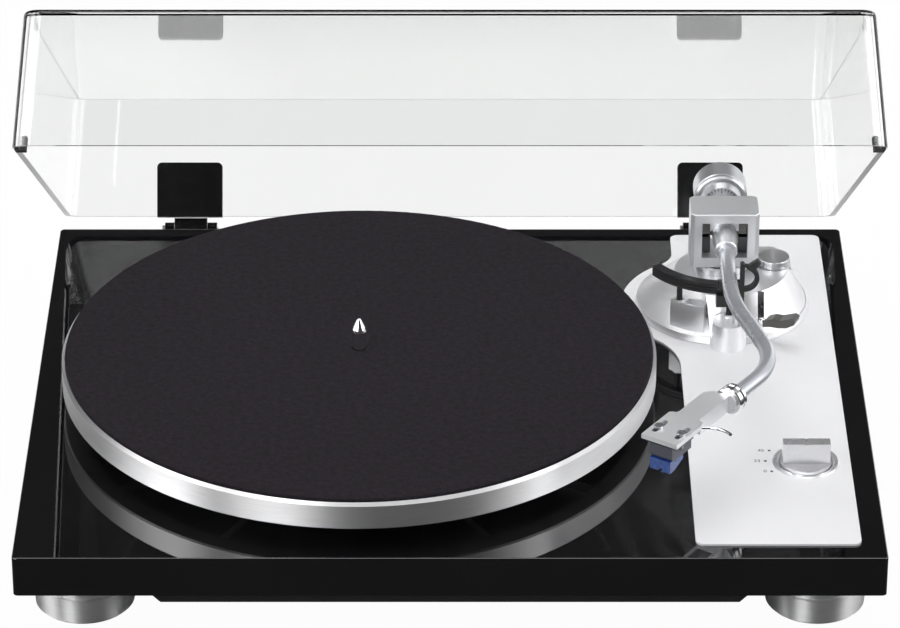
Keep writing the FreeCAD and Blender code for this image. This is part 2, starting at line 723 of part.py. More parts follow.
def make_hinge_clip(side):
    """Two leaves that grip the cover's rear wall, and the barrel that turns on the pin."""
    x = PLINTH_X + side * HINGE_X
    rear = PLINTH_Y + COVER_D / 2
    half = CLIP_W / 2
    gap = 0.05
    base = RIM_Z - 0.4

    def leaf(y0, y1):
        plate = box(x - half, x + half, y0, y1, base, RIM_Z + CLIP_H)
        corners = [e for e in plate.Edges if abs(e.Vertexes[0].X - e.Vertexes[1].X) < 1e-6
                   and abs(e.Vertexes[0].Z - e.Vertexes[1].Z) < 1e-6 and e.Vertexes[0].Z > RIM_Z]
        return plate.makeFillet(CLIP_CORNER_R, corners)

    front_leaf = leaf(rear - COVER_WALL - gap - CLIP_LEAF, rear - COVER_WALL - gap)
    rear_leaf = leaf(rear + gap, rear + gap + CLIP_LEAF)
    lean = math.degrees(math.atan(COVER_DRAFT / COVER_H))
    floor = box(x - half, x + half, rear - COVER_WALL - gap - CLIP_LEAF, rear + gap + CLIP_LEAF,
                base, RIM_Z - gap)
    upper = fuse(front_leaf, rear_leaf)
    upper.rotate(vec(0, rear, RIM_Z), ACROSS, lean)
    inner_half = KNUCKLE_W / 2 - KNUCKLE_EAR - 0.2
    barrel = Part.makeCylinder(KNUCKLE_R, 2 * inner_half, vec(x - inner_half, HINGE_Y, HINGE_Z), ACROSS)
    web = side_view([
        (rear + 0.5, RIM_Z - 0.3), (rear + 0.5, RIM_Z + 7.0), (HINGE_Y - 2.0, RIM_Z + 2.0),
        (HINGE_Y + KNUCKLE_R, HINGE_Z), (HINGE_Y - KNUCKLE_R, HINGE_Z), (HINGE_Y - KNUCKLE_R, RIM_Z - 0.3)],
        x - inner_half, x + inner_half)
    cover_wall = side_view([
        (rear - COVER_WALL - gap, RIM_Z - gap), (rear - COVER_WALL - gap, RIM_Z),
        (rear - COVER_WALL - gap - COVER_DRAFT, RIM_Z + COVER_H - COVER_WALL),
        (rear + gap - COVER_DRAFT, RIM_Z + COVER_H), (rear + gap, RIM_Z), (rear + gap, RIM_Z - gap)],
        x - half - 1.0, x + half + 1.0)
    clip = fuse(upper, floor, barrel, web).cut(cover_wall)
    pin_end = vec(x - KNUCKLE_W / 2, HINGE_Y, HINGE_Z)
    pin_hole = Part.makeCylinder(HINGE_PIN_R + 0.05, KNUCKLE_W, pin_end, ACROSS)
    return opened(clip.cut(pin_hole))


def hinge_screw_xs(side):
    x = PLINTH_X + side * HINGE_X
    return [x - 4.5, x + 4.5]


def make_hinge_base(side):
    """Plate on the plinth's rear face with an ear at each end for the pin."""
    x = PLINTH_X + side * HINGE_X
    half = KNUCKLE_W / 2
    plate = box(x - half, x + half, PLINTH_REAR, PLINTH_REAR + 2.5, HINGE_Z - 12.0, HINGE_Z + 2.0)
    ears = []
    for end in (x - half, x + half - KNUCKLE_EAR):
        knuckle = Part.makeCylinder(KNUCKLE_R, KNUCKLE_EAR, vec(end, HINGE_Y, HINGE_Z), ACROSS)
        web = box(end, end + KNUCKLE_EAR, PLINTH_REAR + 1.0, HINGE_Y, HINGE_Z - KNUCKLE_R, HINGE_Z + 2.0)
        ears += [knuckle, web]
    base = fuse(plate, *ears)
    cuts = [Part.makeCylinder(HINGE_PIN_R + 0.02, KNUCKLE_W, vec(x - half, HINGE_Y, HINGE_Z), ACROSS)]
    for sx in hinge_screw_xs(side):
        cuts.append(rod(SCREW_R + SCREW_PLAY, vec(sx, PLINTH_REAR, HINGE_Z - 6.0),
                        vec(sx, PLINTH_REAR + 3.0, HINGE_Z - 6.0)))
    return base.cut(cuts)


def make_hinge_pins():
    """A headed pin through each hinge."""
    pins = []
    for side in SIDES.values():
        x = PLINTH_X + side * HINGE_X
        start = vec(x - KNUCKLE_W / 2 - 1.5, HINGE_Y, HINGE_Z)
        shank = Part.makeCylinder(HINGE_PIN_R, KNUCKLE_W + 2.5, start, ACROSS)
        head = Part.makeCylinder(3.4, 1.4, start, ACROSS)
        pins.append(fuse(shank, head))
    return group(pins)


def hinge_screws():
    screws = []
    for side in SIDES.values():
        for x in hinge_screw_xs(side):
            seat = vec(x, PLINTH_REAR + 2.5, HINGE_Z - 6.0)
            head = Part.makeCone(SCREW_HEAD_R, SCREW_HEAD_R * 0.75, SCREW_HEAD_H, seat, REARWARD)
            shank = Part.makeCylinder(SCREW_R, 10.0, seat, vec(0, -1, 0))
            screws.append(fuse(head, shank))
    return screws


def shoulder_outline():
    """Plan of the raised right side, from its slanted left wall to its right wall."""
    rear = PIVOT_Y + SHOULDER_REAR
    return [(PIVOT_X - 17.0, rear), (PIVOT_X - 12.0, PIVOT_Y - 25.0), (PIVOT_X - 7.0, PIVOT_Y - 46.0),
            (SHOULDER_RIGHT, PIVOT_Y - 46.0), (SHOULDER_RIGHT, rear)]


def base_blank():
    """Flange, cone and raised side of the arm base before any holes."""
    flange = turned([(0, DECK_TOP), (FLANGE_R - 0.4, DECK_TOP), (FLANGE_R, DECK_TOP + 0.4),
                     (FLANGE_R - 0.8, FLANGE_TOP - 0.4), (FLANGE_R - 1.2, FLANGE_TOP), (0, FLANGE_TOP)],
                    PIVOT_X, PIVOT_Y)
    cone = taper(CONE_FOOT_R, CONE_TOP_R, FLANGE_TOP, CONE_TOP_Z, PIVOT_X, PIVOT_Y)
    shoulder = taper(CONE_FOOT_R, SHOULDER_TOP_R, FLANGE_TOP, SHOULDER_TOP_Z, PIVOT_X, PIVOT_Y)
    shoulder = shoulder.common(plan(shoulder_outline(), FLANGE_TOP, SHOULDER_TOP_Z))
    boss = post(SKATE_R + 0.6, FLANGE_TOP, SKATE_TOP - SKATE_H - FIT_GAP, SKATE_X, SKATE_Y)
    return fuse(flange, cone, shoulder, boss)


def lever_slot():
    """Thin fan that the cue lever swings in, with the bore of its axle."""
    reach = LEVER_REACH + 6.0
    half = LEVER_SLOT / 2
    spread = math.degrees(math.asin(half / reach))
    outline = [lever_point(half, -90.0), lever_point(reach, -spread),
               lever_point(reach * 1.1, LEVER_SWING / 2), lever_point(reach, LEVER_SWING + spread),
               lever_point(half, LEVER_SWING + 90.0)]
    fan = side_view(outline, LEVER_X - half, LEVER_X + half)
    hub = Part.makeCylinder(2.2, LEVER_SLOT, vec(LEVER_X - half, LEVER_Y, LEVER_Z), ACROSS)
    axle = Part.makeCylinder(1.25, 14.0, vec(LEVER_X - 7.0, LEVER_Y, LEVER_Z), ACROSS)
    return fan.fuse([hub, axle])


def lever_point(r, degrees):
    """Point (y, z) of the lever's swing, angle taken up from its lower stop."""
    turn = math.radians(LEVER_LOW - degrees)
    return LEVER_Y + r * math.cos(turn), LEVER_Z + r * math.sin(turn)


def make_arm_base():
    cuts = [
        post(THREAD_R + 0.05, DECK_TOP, CONE_TOP_Z + 5.0, PIVOT_X, PIVOT_Y),
        post(PILLAR_R + 0.05, PILLAR_LEDGE, CONE_TOP_Z + 5.0, PIVOT_X, PIVOT_Y),
        taper(LIFT_FOOT_R + 0.05, LIFT_TOP_R + 0.05, DECK_TOP, LIFT_TOP_Z, LIFT_X, LIFT_Y),
        post(LIFT_TOP_R + 0.6, LIFT_TOP_Z - 0.6, 0.0, LIFT_X, LIFT_Y),
        post(2.05, SKATE_TOP - SKATE_H - 8.0, SKATE_TOP, SKATE_X, SKATE_Y),
        post(SKATE_R + 0.6, SKATE_TOP - SKATE_H - FIT_GAP, SKATE_TOP, SKATE_X, SKATE_Y),
        lever_slot()]
    return base_blank().cut(cuts)


def make_arm_pillar():
    """Threaded tube through the plinth with a round head on the arm base."""
    tube = turned([
        (PILLAR_BORE_R, PILLAR_TOP), (PILLAR_R - 0.8, PILLAR_TOP), (PILLAR_R, PILLAR_TOP - 0.8),
        (PILLAR_R, PILLAR_LEDGE), (THREAD_R, PILLAR_LEDGE), (THREAD_R, PILLAR_BOTTOM),
        (PILLAR_BORE_R, PILLAR_BOTTOM)], PIVOT_X, PIVOT_Y)
    return tube


def make_pillar_nut():
    low = PILLAR_BOTTOM + 1.0
    nut = hexagon(NUT_FLATS, low, low + NUT_T, PIVOT_X, PIVOT_Y)
    return nut.cut(post(THREAD_R, low, low + NUT_T, PIVOT_X, PIVOT_Y))


def make_yaw_bearings():
    """Two races in the pillar that the gimbal's shaft turns in."""
    top = PILLAR_TOP - 1.0
    return group([ring(PILLAR_BORE_R, YAW_SHAFT_R + BEARING_CLEARANCE, z, z + BEARING_T, PIVOT_X, PIVOT_Y)
                  for z in (top - BEARING_T, PILLAR_BOTTOM + 2.0)])


def make_lift_housing():
    """Tapered cylinder of the cueing lift, with a bore for its stem."""
    body = taper(LIFT_FOOT_R, LIFT_TOP_R, DECK_TOP, LIFT_TOP_Z, LIFT_X, LIFT_Y)
    bore = post(STEM_R + 0.3, DECK_TOP + 1.5, LIFT_TOP_Z, LIFT_X, LIFT_Y)
    return body.cut(bore)


def make_lift_nut():
    low = LIFT_TOP_Z
    nut = hexagon(6.0, low, low + 3.0, LIFT_X, LIFT_Y)
    crown = post(2.6, low + 3.0, low + 4.2, LIFT_X, LIFT_Y)
    return fuse(nut, crown).cut(post(STEM_R + 0.3, low, low + 4.2, LIFT_X, LIFT_Y))


def post_place():
    return around_pivot(POST_PITCH_R, POST_ANGLE)


def make_lift_guide():
    """Curved block on the cone, hollow behind, with the guide hole of the lift's post."""
    block = sector(BLOCK_IN_R, BLOCK_OUT_R, BLOCK_FROM, BLOCK_TO, FLANGE_TOP, BLOCK_TOP)
    x, y = post_place()
    collar = post(2.6, BLOCK_TOP, BLOCK_TOP + 0.8, x, y)
    hollow = sector(BLOCK_IN_R + 1.6, BLOCK_OUT_R - 1.4, BLOCK_FROM + 3.0, POST_ANGLE - 5.0,
                    BLOCK_TOP - 4.5, BLOCK_TOP)
    hole = post(1.8, BLOCK_TOP - 9.0, BLOCK_TOP + 1.0, x, y)
    return fuse(block, collar).cut([hollow, hole, base_blank()])


def make_lift_bar():
    """Curved bar under the arm tube, its stem in the lift and its post in the guide."""
    bar = sector(BAR_IN_R, BAR_OUT_R, 0.8, BAR_ANGLE, BAR_TOP - BAR_H, BAR_TOP)
    grooves = [sector(BAR_OUT_R - 0.5, BAR_OUT_R + 1, 2.0, BAR_ANGLE - 2.0, z, z + 0.7)
               for z in (BAR_TOP - 2.2, BAR_TOP - 4.0)]
    bar = bar.cut(grooves)
    low = LIFT_TOP_Z + 9.4
    carrier = box(LIFT_X - 7.0, LIFT_X + STEM_R, LIFT_Y - 2.6, LIFT_Y + 4.6, low, BAR_TOP - BAR_H + 0.3)
    riser = box(LIFT_X - 7.0, LIFT_X - 1.5, LIFT_Y + 1.8, LIFT_Y + 4.6, low, BAR_TOP)
    stem = post(STEM_R, LIFT_TOP_Z - 9.0, low, LIFT_X, LIFT_Y)
    x, y = post_place()
    guide_post = post(1.5, BLOCK_TOP - 5.0, BAR_TOP - BAR_H, x, y)
    return fuse(bar, carrier, riser, stem, guide_post)


def make_arm_rest():
    """Upright by the tube with a low cradle under it, on the lift housing."""
    right = REST_BAR_X + REST_BAR_W
    upright = front_view([
        (REST_BAR_X, LIFT_TOP_Z), (right, LIFT_TOP_Z), (right, REST_TOP - 0.8), (right - 0.8, REST_TOP),
        (REST_BAR_X + 0.8, REST_TOP), (REST_BAR_X, REST_TOP - 0.8)], REST_FRONT, REST_FRONT + REST_T)
    cradle = box(LIFT_X - 6.6, right - 0.5, REST_FRONT, REST_FRONT + REST_T, ARM_Z - 8.7, ARM_Z - 1.0)
    seat = box(LIFT_X - 8.0, right, REST_FRONT, REST_FRONT + REST_T, ARM_Z - TUBE_R - FIT_GAP, ARM_Z + 9.0)
    pin = rod(CLIP_PIN_R, vec(CLIP_PIN_X, REST_FRONT + 0.5, CLIP_PIN_Z),
              vec(CLIP_PIN_X, REST_FRONT + REST_T + CLIP_T + 1.0, CLIP_PIN_Z))
    body = fuse(upright, cradle.cut(seat))
    return fuse(body, pin)


def make_arm_clip():
    """Open ring that flips over the tube about the pin, with a finger tab."""
    y0 = REST_FRONT + REST_T + FIT_GAP
    y1 = y0 + CLIP_T - 0.3
    centre = vec(CLIP_RING_X, y0, CLIP_RING_Z)
    full = Part.makeCylinder(CLIP_RING_OUT, y1 - y0, centre, REARWARD)
    hub = rod(CLIP_HUB_R, vec(CLIP_PIN_X, y0, CLIP_PIN_Z), vec(CLIP_PIN_X, y1, CLIP_PIN_Z))
    tab = front_view([(CLIP_RING_X + 0.2, CLIP_RING_Z + 6.2), (CLIP_RING_X + 6.6, CLIP_RING_Z + 10.9),
                      (CLIP_RING_X + 8.2, CLIP_RING_Z + 9.0), (CLIP_RING_X + 4.6, CLIP_RING_Z + 3.8)], y0, y1)
    inside = Part.makeCylinder(CLIP_RING_IN, y1 - y0, centre, REARWARD)
    mouth = front_view([(CLIP_RING_X, CLIP_RING_Z), (CLIP_RING_X, CLIP_RING_Z + 20),
                        (CLIP_RING_X - 20, CLIP_RING_Z + 20), (CLIP_RING_X - 20, CLIP_RING_Z - 10.6)], y0, y1)
    sweep_r = math.hypot(CLIP_PIN_X - tube_x(), CLIP_PIN_Z - ARM_Z) + TUBE_R + FIT_GAP
    sweep = Part.makeCylinder(sweep_r, y1 - y0, vec(CLIP_PIN_X, y0, CLIP_PIN_Z), REARWARD)
    tip_zone = box(CLIP_RING_X - 9, CLIP_RING_X + 5, y0, y1, CLIP_RING_Z + 3.2, CLIP_RING_Z + 20)
    ring_part = full.cut([inside, mouth])
    clip = fuse(ring_part, tab, hub).cut([inside, sweep.common(tip_zone)])
    return clip.cut(rod(CLIP_PIN_R + 0.05, vec(CLIP_PIN_X, y0, CLIP_PIN_Z), vec(CLIP_PIN_X, y1, CLIP_PIN_Z)))


def make_cue_lever():
    """Axle and rod inside the base, a ball at the slot and a bent paddle to the right."""
    axle = Part.makeCylinder(1.2, 12.0, vec(LEVER_X - 6.0, LEVER_Y, LEVER_Z), ACROSS)
    y, z = lever_point(LEVER_REACH, 0.0)
    stick = rod(1.2, vec(LEVER_X, LEVER_Y, LEVER_Z), vec(LEVER_X, y, z))
    ball = Part.makeSphere(2.2, vec(LEVER_X + 0.6, y, z))
    return fuse(axle, stick, ball)


def make_cue_paddle():
    """Flat grip that bends up and then down to the right, pushed over the ball's peg."""
    y, z = lever_point(LEVER_REACH, 0.0)
    x = LEVER_X + 2.6
    outline = [(x, z - 0.6), (x + 3.5, z + 0.2), (x + 8.0, z + 0.4), (x + 13.0, z + 1.6),
               (x + 17.0, z + 4.2), (x + 17.6, z + 6.6), (x + 15.6, z + 7.6), (x + 9.0, z + 5.0),
               (x + 5.0, z + 4.8), (x + 1.5, z + 3.4), (x, z + 1.8)]
    paddle = front_view(outline, y - 5.5, y + 1.5)
    turn = 24.0
    paddle.rotate(vec(x, y, z), UP, -turn)
    return paddle.cut(Part.makeSphere(2.2, vec(LEVER_X + 0.6, y, z)))


def make_skate_knob():
    """Anti-skate dial with a waist, its stem in the boss."""
    top = SKATE_TOP
    low = top - SKATE_H
    knob = turned([
        (0, top), (SKATE_R - 0.7, top), (SKATE_R - 0.4, top - 0.3), (SKATE_R, low + 1.4),
        (SKATE_R - 0.3, low + 0.9), (SKATE_R - 0.9, low), (0, low)], SKATE_X, SKATE_Y)
    mark = box(SKATE_X - 0.4, SKATE_X + 0.4, SKATE_Y - SKATE_R, SKATE_Y - 3.0, top - 0.4, top)
    return fuse(knob.cut(mark), post(2.0, low - 6.5, low, SKATE_X, SKATE_Y))


def make_selector_dish():
    low = DECK_TOP - DISH_DEPTH - 1.0
    rim = DECK_TOP + 0.9
    return turned([
        (3.3, low), (DISH_R + 1.0, low), (DISH_R + 1.0, DECK_TOP), (DISH_RIM_R, DECK_TOP),
        (DISH_RIM_R, rim - 0.5), (DISH_RIM_R - 0.6, rim), (DISH_R + 1.0, rim - 0.2), (DISH_R, rim - 1.0),
        (DISH_R, low + 1.0), (3.3, low + 1.0)], DISH_X, DISH_Y)


def make_selector_knob():
    """Round grip with a flat blade across it and a notched pointer."""
    low = DECK_TOP - DISH_DEPTH + 0.3
    disc = post(KNOB_R, low, KNOB_TOP, DISH_X, DISH_Y)
    half = KNOB_BLADE / 2
    foot_z = low + 5.0
    wedge = side_view([
        (DISH_Y - KNOB_R - 1, low), (DISH_Y - KNOB_R - 1, foot_z - 0.8), (DISH_Y - half - 3.4, foot_z),
        (DISH_Y - half - 2.2, KNOB_TOP), (DISH_Y + half - 0.6, KNOB_TOP), (DISH_Y + KNOB_R - 2.0, foot_z),
        (DISH_Y + KNOB_R + 1, foot_z - 0.5), (DISH_Y + KNOB_R + 1, low)],
        DISH_X - KNOB_R - 1, DISH_X + KNOB_R + 1)
    grip = disc.common(wedge)
    flats = box(DISH_X - KNOB_R + 1.2, DISH_X + KNOB_R - 1.2, DISH_Y - 20, DISH_Y + 20,
                foot_z, KNOB_TOP + 1)
    lower = box(DISH_X - KNOB_R - 1, DISH_X + KNOB_R + 1, DISH_Y - 20, DISH_Y + 20, low, foot_z)
    grip = grip.common(fuse(flats, lower))
    notch = plan([(DISH_X - 0.7, DISH_Y + half), (DISH_X + 0.7, DISH_Y + half),
                  (DISH_X + 0.2, DISH_Y - 5.0), (DISH_X - 0.2, DISH_Y - 5.0)], KNOB_TOP - 0.6, KNOB_TOP)
    shaft = post(3.0, low - 8.0, low, DISH_X, DISH_Y)
    return fuse(grip.cut(notch), shaft)


def make_selector_switch():
    """Rotary switch under the dish, open above for the knob's shaft."""
    top = DECK_TOP - DISH_DEPTH - 1.0
    body = post(9.5, top - 12.0, top, DISH_X, DISH_Y)
    bush = post(3.2, top, top + 1.0, DISH_X, DISH_Y)
    return fuse(body, bush).cut(post(3.04, top - 8.0, top + 1.0, DISH_X, DISH_Y))


def make_gimbal_frame():
    """Square frame, open above between its two walls, that carries the knife seats."""
    x0 = PIVOT_X - GIMBAL_W / 2
    y0 = PIVOT_Y + GIMBAL_FRONT
    y1 = PIVOT_Y + GIMBAL_REAR
    block = box(x0, x0 + GIMBAL_W, y0, y1, GIMBAL_BOTTOM, GIMBAL_SEAM)
    block = block.makeChamfer(GIMBAL_CHAMFER, upright_edges(block))
    half = WINDOW_W / 2
    window = box(PIVOT_X - half, PIVOT_X + half, y0, y1, WINDOW_BOTTOM, GIMBAL_SEAM)
    holes = [screw_hole(PIVOT_X + s * (GIMBAL_W / 2 - 3.0), PIVOT_Y, GIMBAL_SEAM - 6.0, GIMBAL_SEAM)
             for s in (-1, 1)]
    socket = post(YAW_SHAFT_R, GIMBAL_BOTTOM, WINDOW_BOTTOM - 1.5, PIVOT_X, PIVOT_Y)
    return block.cut([window, socket] + holes)


def upright_edges(shape):
    return [e for e in shape.Edges if abs(e.Vertexes[0].X - e.Vertexes[-1].X) < 1e-6
            and abs(e.Vertexes[0].Y - e.Vertexes[-1].Y) < 1e-6]


def make_gimbal_cap():
    x0 = PIVOT_X - GIMBAL_W / 2
    cap = box(x0, x0 + GIMBAL_W, PIVOT_Y + GIMBAL_FRONT, PIVOT_Y + GIMBAL_REAR, GIMBAL_SEAM, GIMBAL_TOP)
    cap = cap.makeChamfer(GIMBAL_CHAMFER, upright_edges(cap))
    rim = [e for e in cap.Edges if abs(e.BoundBox.ZMin - GIMBAL_TOP) < 1e-6]
    cap = cap.makeChamfer(CAP_EDGE, rim)
    return cap.cut([screw_hole(PIVOT_X + s * (GIMBAL_W / 2 - 3.0), PIVOT_Y, GIMBAL_SEAM, GIMBAL_SEAM + 3.0)
                    for s in (-1, 1)])


def make_yaw_shaft():
    return post(YAW_SHAFT_R, PILLAR_BOTTOM + 1.0, WINDOW_BOTTOM - 1.5, PIVOT_X, PIVOT_Y)


def make_knife_seats():
    """Blocks on the window's floor with open grooves for the knife edges."""
    seats = []
    for s in (-1, 1):
        inner = PIVOT_X + s * (KNIFE_INNER + 0.4)
        outer = PIVOT_X + s * WINDOW_W / 2
        y = PIVOT_Y
        outline = [(y - 5.0, WINDOW_BOTTOM), (y + 5.0, WINDOW_BOTTOM), (y + 5.0, SEAT_TOP),
                   (y + 2.0, SEAT_TOP), (y, KNIFE_EDGE - 0.1), (y - 2.0, SEAT_TOP), (y - 5.0, SEAT_TOP)]
        seats.append(side_view(outline, min(inner, outer), max(inner, outer)))
    return group(seats)


def make_knife_edges():
    """Blocks on the yoke's ends, each with a knife edge on the tilt axis."""
    wedges = []
    for s in (-1, 1):
        inner = PIVOT_X + s * (KNIFE_INNER + 0.6)
        outer = PIVOT_X + s * KNIFE_OUTER
        y = PIVOT_Y
        low = KNIFE_EDGE + 2.4
        outline = [(y, KNIFE_EDGE), (y + 1.8, low), (y + BRIDGE_HALF, low),
                   (y + BRIDGE_HALF, BRIDGE_TOP), (y - BRIDGE_HALF, BRIDGE_TOP),
                   (y - BRIDGE_HALF, low), (y - 1.8, low)]
        wedges.append(side_view(outline, min(inner, outer), max(inner, outer)))
    return group(wedges)


def make_arm_yoke():
    """Tapered sleeve round the tube, a body in the window and a bridge to the knife edges."""
    sleeve = turned_along([
        (TUBE_R, PIVOT_Y - SLEEVE_FRONT), (SLEEVE_R - 0.5, PIVOT_Y - SLEEVE_FRONT),
        (SLEEVE_R, PIVOT_Y - SLEEVE_FRONT + 0.5), (SLEEVE_R, PIVOT_Y - SLEEVE_FRONT + 1.6),
        (SLEEVE_R - 0.5, PIVOT_Y - SLEEVE_FRONT + 2.0), (YOKE_R, PIVOT_Y + GIMBAL_FRONT),
        (TUBE_R, PIVOT_Y + GIMBAL_FRONT)], tube_x(), ARM_Z)
    body = turned_along([(0, PIVOT_Y + GIMBAL_FRONT), (YOKE_R, PIVOT_Y + GIMBAL_FRONT),
                         (YOKE_R, PIVOT_Y + GIMBAL_REAR), (0, PIVOT_Y + GIMBAL_REAR)], tube_x(), ARM_Z)
    reach = KNIFE_INNER + 0.6
    bridge = box(PIVOT_X - reach, PIVOT_X + reach, PIVOT_Y - BRIDGE_HALF, PIVOT_Y + BRIDGE_HALF,
                 ARM_Z + 2.0, BRIDGE_TOP)
    return fuse(sleeve, body, bridge)


def tube_x():
    return PIVOT_X + 0.2


def make_rear_stub():
    """Threaded rod behind the pivot for the counterweight."""
    start = PIVOT_Y + GIMBAL_REAR
    return turned_along([
        (0, start), (STUB_R + 0.8, start), (STUB_R + 0.8, start + 3.0), (STUB_R, start + 3.0),
        (STUB_R, PIVOT_Y + STUB_END - 0.6), (STUB_R - 0.6, PIVOT_Y + STUB_END), (0, PIVOT_Y + STUB_END)],
        tube_x(), ARM_Z)


def tube_path():
    """Corner points and arcs of the arm's centre line, with the heading at its end."""
    heading = 0.0
    here = vec(tube_x(), PIVOT_Y + GIMBAL_FRONT, ARM_Z)
    shapes = []

    def forward(angle):
        return vec(math.sin(math.radians(angle)), -math.cos(math.radians(angle)), 0)

    def leftward(angle):
        return vec(math.cos(math.radians(angle)), math.sin(math.radians(angle)), 0)

    def run(length):
        nonlocal here
        there = here + forward(heading) * length
        shapes.append(Part.LineSegment(here, there).toShape())
        here = there

    def bend(radius, degrees):
        """Turn to the right of the picture when degrees is positive."""
        nonlocal here, heading
        side = 1 if degrees > 0 else -1
        centre = here + leftward(heading) * (radius * side)
        points = []
        for share in (0.5, 1.0):
            angle = heading + degrees * share
            points.append(centre - leftward(angle) * (radius * side))
        shapes.append(Part.Arc(here, points[0], points[1]).toShape())
        here = points[1]
        heading += degrees

    run(TUBE_STRAIGHT + GIMBAL_FRONT)
    bend(FIRST_BEND_R, FIRST_BEND)
    run(MIDDLE_RUN)
    bend(SECOND_BEND_R, -(FIRST_BEND + OFFSET_ANGLE))
    run(LAST_RUN)
    return shapes, here, forward(heading)


def make_arm_tube():
    shapes, end, along = tube_path()
    section = Part.Wire(Part.makeCircle(TUBE_R, shapes[0].Vertexes[0].Point, vec(0, -1, 0)))
    return Part.Wire(shapes).makePipeShell([section], True, False)


def along_shell(shape):
    """Move a piece drawn along -Y from the origin to the end of the arm tube."""
    end = tube_path()[1]
    placed = shape.copy()
    placed.rotate(vec(0, 0, 0), UP, -OFFSET_ANGLE)
    placed.translate(vec(end.x, end.y, 0))
    return placed


def make_collar():
    """Locking ring of the headshell, with a raised lip and a grip."""
    socket = PLUG_R + 0.05
    outline = [(socket, -6.0), (COLLAR_R - 0.4, -6.0), (COLLAR_R, -5.6), (COLLAR_R, -2.9),
               (COLLAR_R - 0.4, -2.5), (COLLAR_LIP_R, -2.5), (COLLAR_LIP_R, -1.5), (COLLAR_R, -1.5),
               (COLLAR_R, 0.0), (COLLAR_LIP_R, 0.6), (COLLAR_LIP_R - 0.8, 1.6), (TUBE_R + 0.05, 1.6),
               (TUBE_R + 0.05, -0.9), (socket, -0.9)]
    return along_shell(turned_along(outline, 0.0, ARM_Z))


def make_headshell():
    """Flat plate with two slots, a boxed neck behind it and the plug that enters the arm."""
    top = SHELL_TOP
    half_n = SHELL_NECK_W / 2
    half_w = SHELL_W / 2
    back = -7.0
    step = -SHELL_NECK_L
    nose = -SHELL_L
    low = top - SHELL_PLATE
    shift = -SHELL_SHIFT
    neck_outline = [(shift - half_n + 4.0, back), (shift + half_n, back), (shift + half_n, step),
                    (shift - half_n, step), (shift - half_n, back - 3.0)]
    neck = plan(neck_outline, top - SHELL_SIDE, top)
    hollow = plan([(shift - half_n + SHELL_WALL, back - 8.0), (shift + half_n - SHELL_WALL, back - 8.0),
                   (shift + half_n - SHELL_WALL, step - 1.0), (shift - half_n + SHELL_WALL, step - 1.0)],
                  top - SHELL_SIDE, top - SHELL_WALL)
    plate = plan([(shift - half_n, step + 1.0), (shift + half_n, step + 1.0), (shift + half_n, step - 1.2),
                  (shift + half_w - 1.0, step - 2.4), (shift + half_w, step - 5.5), (shift + half_w, nose),
                  (shift - half_w, nose), (shift - half_w, step - 2.6), (shift - half_w + 1.6, step - 1.2),
                  (shift - half_n - 0.8, step - 1.2)], low, top)
    slots = []
    for s in (-1, 1):
        x = shift + s * SLOT_PITCH / 2
        y = nose + 5.0 + SLOT_L / 2
        slot = box(x - SLOT_W / 2, x + SLOT_W / 2, y - SLOT_L / 2 + 1.5, y + SLOT_L / 2 - 1.5, low, top)
        ends = [post(SLOT_W / 2, low, top, x, y + e * (SLOT_L / 2 - 1.5)) for e in (-1, 1)]
        slots += [slot] + ends
    plug = turned_along([(0, -7.5), (PLUG_R, -7.5), (PLUG_R, -1.1), (TUBE_R - 0.1, -1.1),
                         (TUBE_R - 0.1, 0), (0, 0)], 0.0, ARM_Z)
    return along_shell(fuse(neck.cut(hollow), plate, plug).cut(slots))


def make_finger_lift():
    """Bent strip that curves out to the right of the plate."""
    shift = -SHELL_SHIFT
    right = shift + SHELL_W / 2
    y = -SHELL_L + FINGER_BACK
    low = SHELL_TOP - SHELL_PLATE - FINGER_R
    start = vec(right - 3.0, y - 4.5, low)
    bend = vec(right + 3.6, y + 0.5, low)
    tip = vec(right + 13.8, y - 1.0, low + 0.6)
    path = Part.Arc(start, bend, tip).toShape()
    strip = Part.Wire(path)
    normal = path.tangentAt(path.FirstParameter)
    section = Part.Wire(Part.makeCircle(FINGER_R, start, normal))
    return along_shell(strip.makePipeShell([section], True, False))


def cartridge_x():
    return -SHELL_SHIFT


def make_cartridge_body():
    """Moulded body with a mounting flange, waisted below, and four pins behind."""
    x = cartridge_x()
    front = -SHELL_L + 2.0
    back = front + 17.5
    top = SHELL_TOP - SHELL_PLATE
    flange = box(x - 8.6, x + 8.6, front + 1.0, back - 2.0, top - 2.6, top)
    upper = side_view([(front, top - 2.0), (back, top - 2.0), (back, top - 9.5), (front + 1.4, top - 9.5),
                       (front, top - 8.0)], x - 6.4, x + 6.4)
    pins = [rod(0.6, vec(x + px, back - 0.5, top - pz), vec(x + px, back + 4.0, top - pz))
            for px in (-2.6, 2.6) for pz in (4.4, 7.2)]
    holes = [post(1.2, top - 6.0, top, x + s * SLOT_PITCH / 2, front + 8.0) for s in (-1, 1)]
    body = fuse(flange, upper, *pins).cut(holes)
    return along_shell(body)


def make_stylus_holder():
    """Coloured shell that slides on the body's lower front and holds the cantilever."""
    x = cartridge_x()
    front = -SHELL_L + 1.4
    top = SHELL_TOP - SHELL_PLATE - 9.5
    outline = [(front, top), (front + 12.0, top), (front + 12.0, top - 3.0), (front + 4.0, top - 6.2),
               (front, top - 6.2)]
    shell = side_view(outline, x - 5.7, x + 5.7)
    tunnel = side_view([(front, top - 6.2), (front, top - 4.6), (front + 6.5, top - 3.4),
                        (front + 8.0, top - 6.2)], x - 1.3, x + 1.3)
    return along_shell(shell.cut(tunnel))


def make_cantilever():
    x = cartridge_x()
    front = -SHELL_L + 1.4
    top = SHELL_TOP - SHELL_PLATE - 9.5
    arm = rod(0.4, vec(x, front + 9.0, top - 2.6), vec(x, front + 1.2, 2.8))
    tip = post(0.25, 1.9, 3.0, x, front + 1.7)
    return along_shell(fuse(arm, tip))


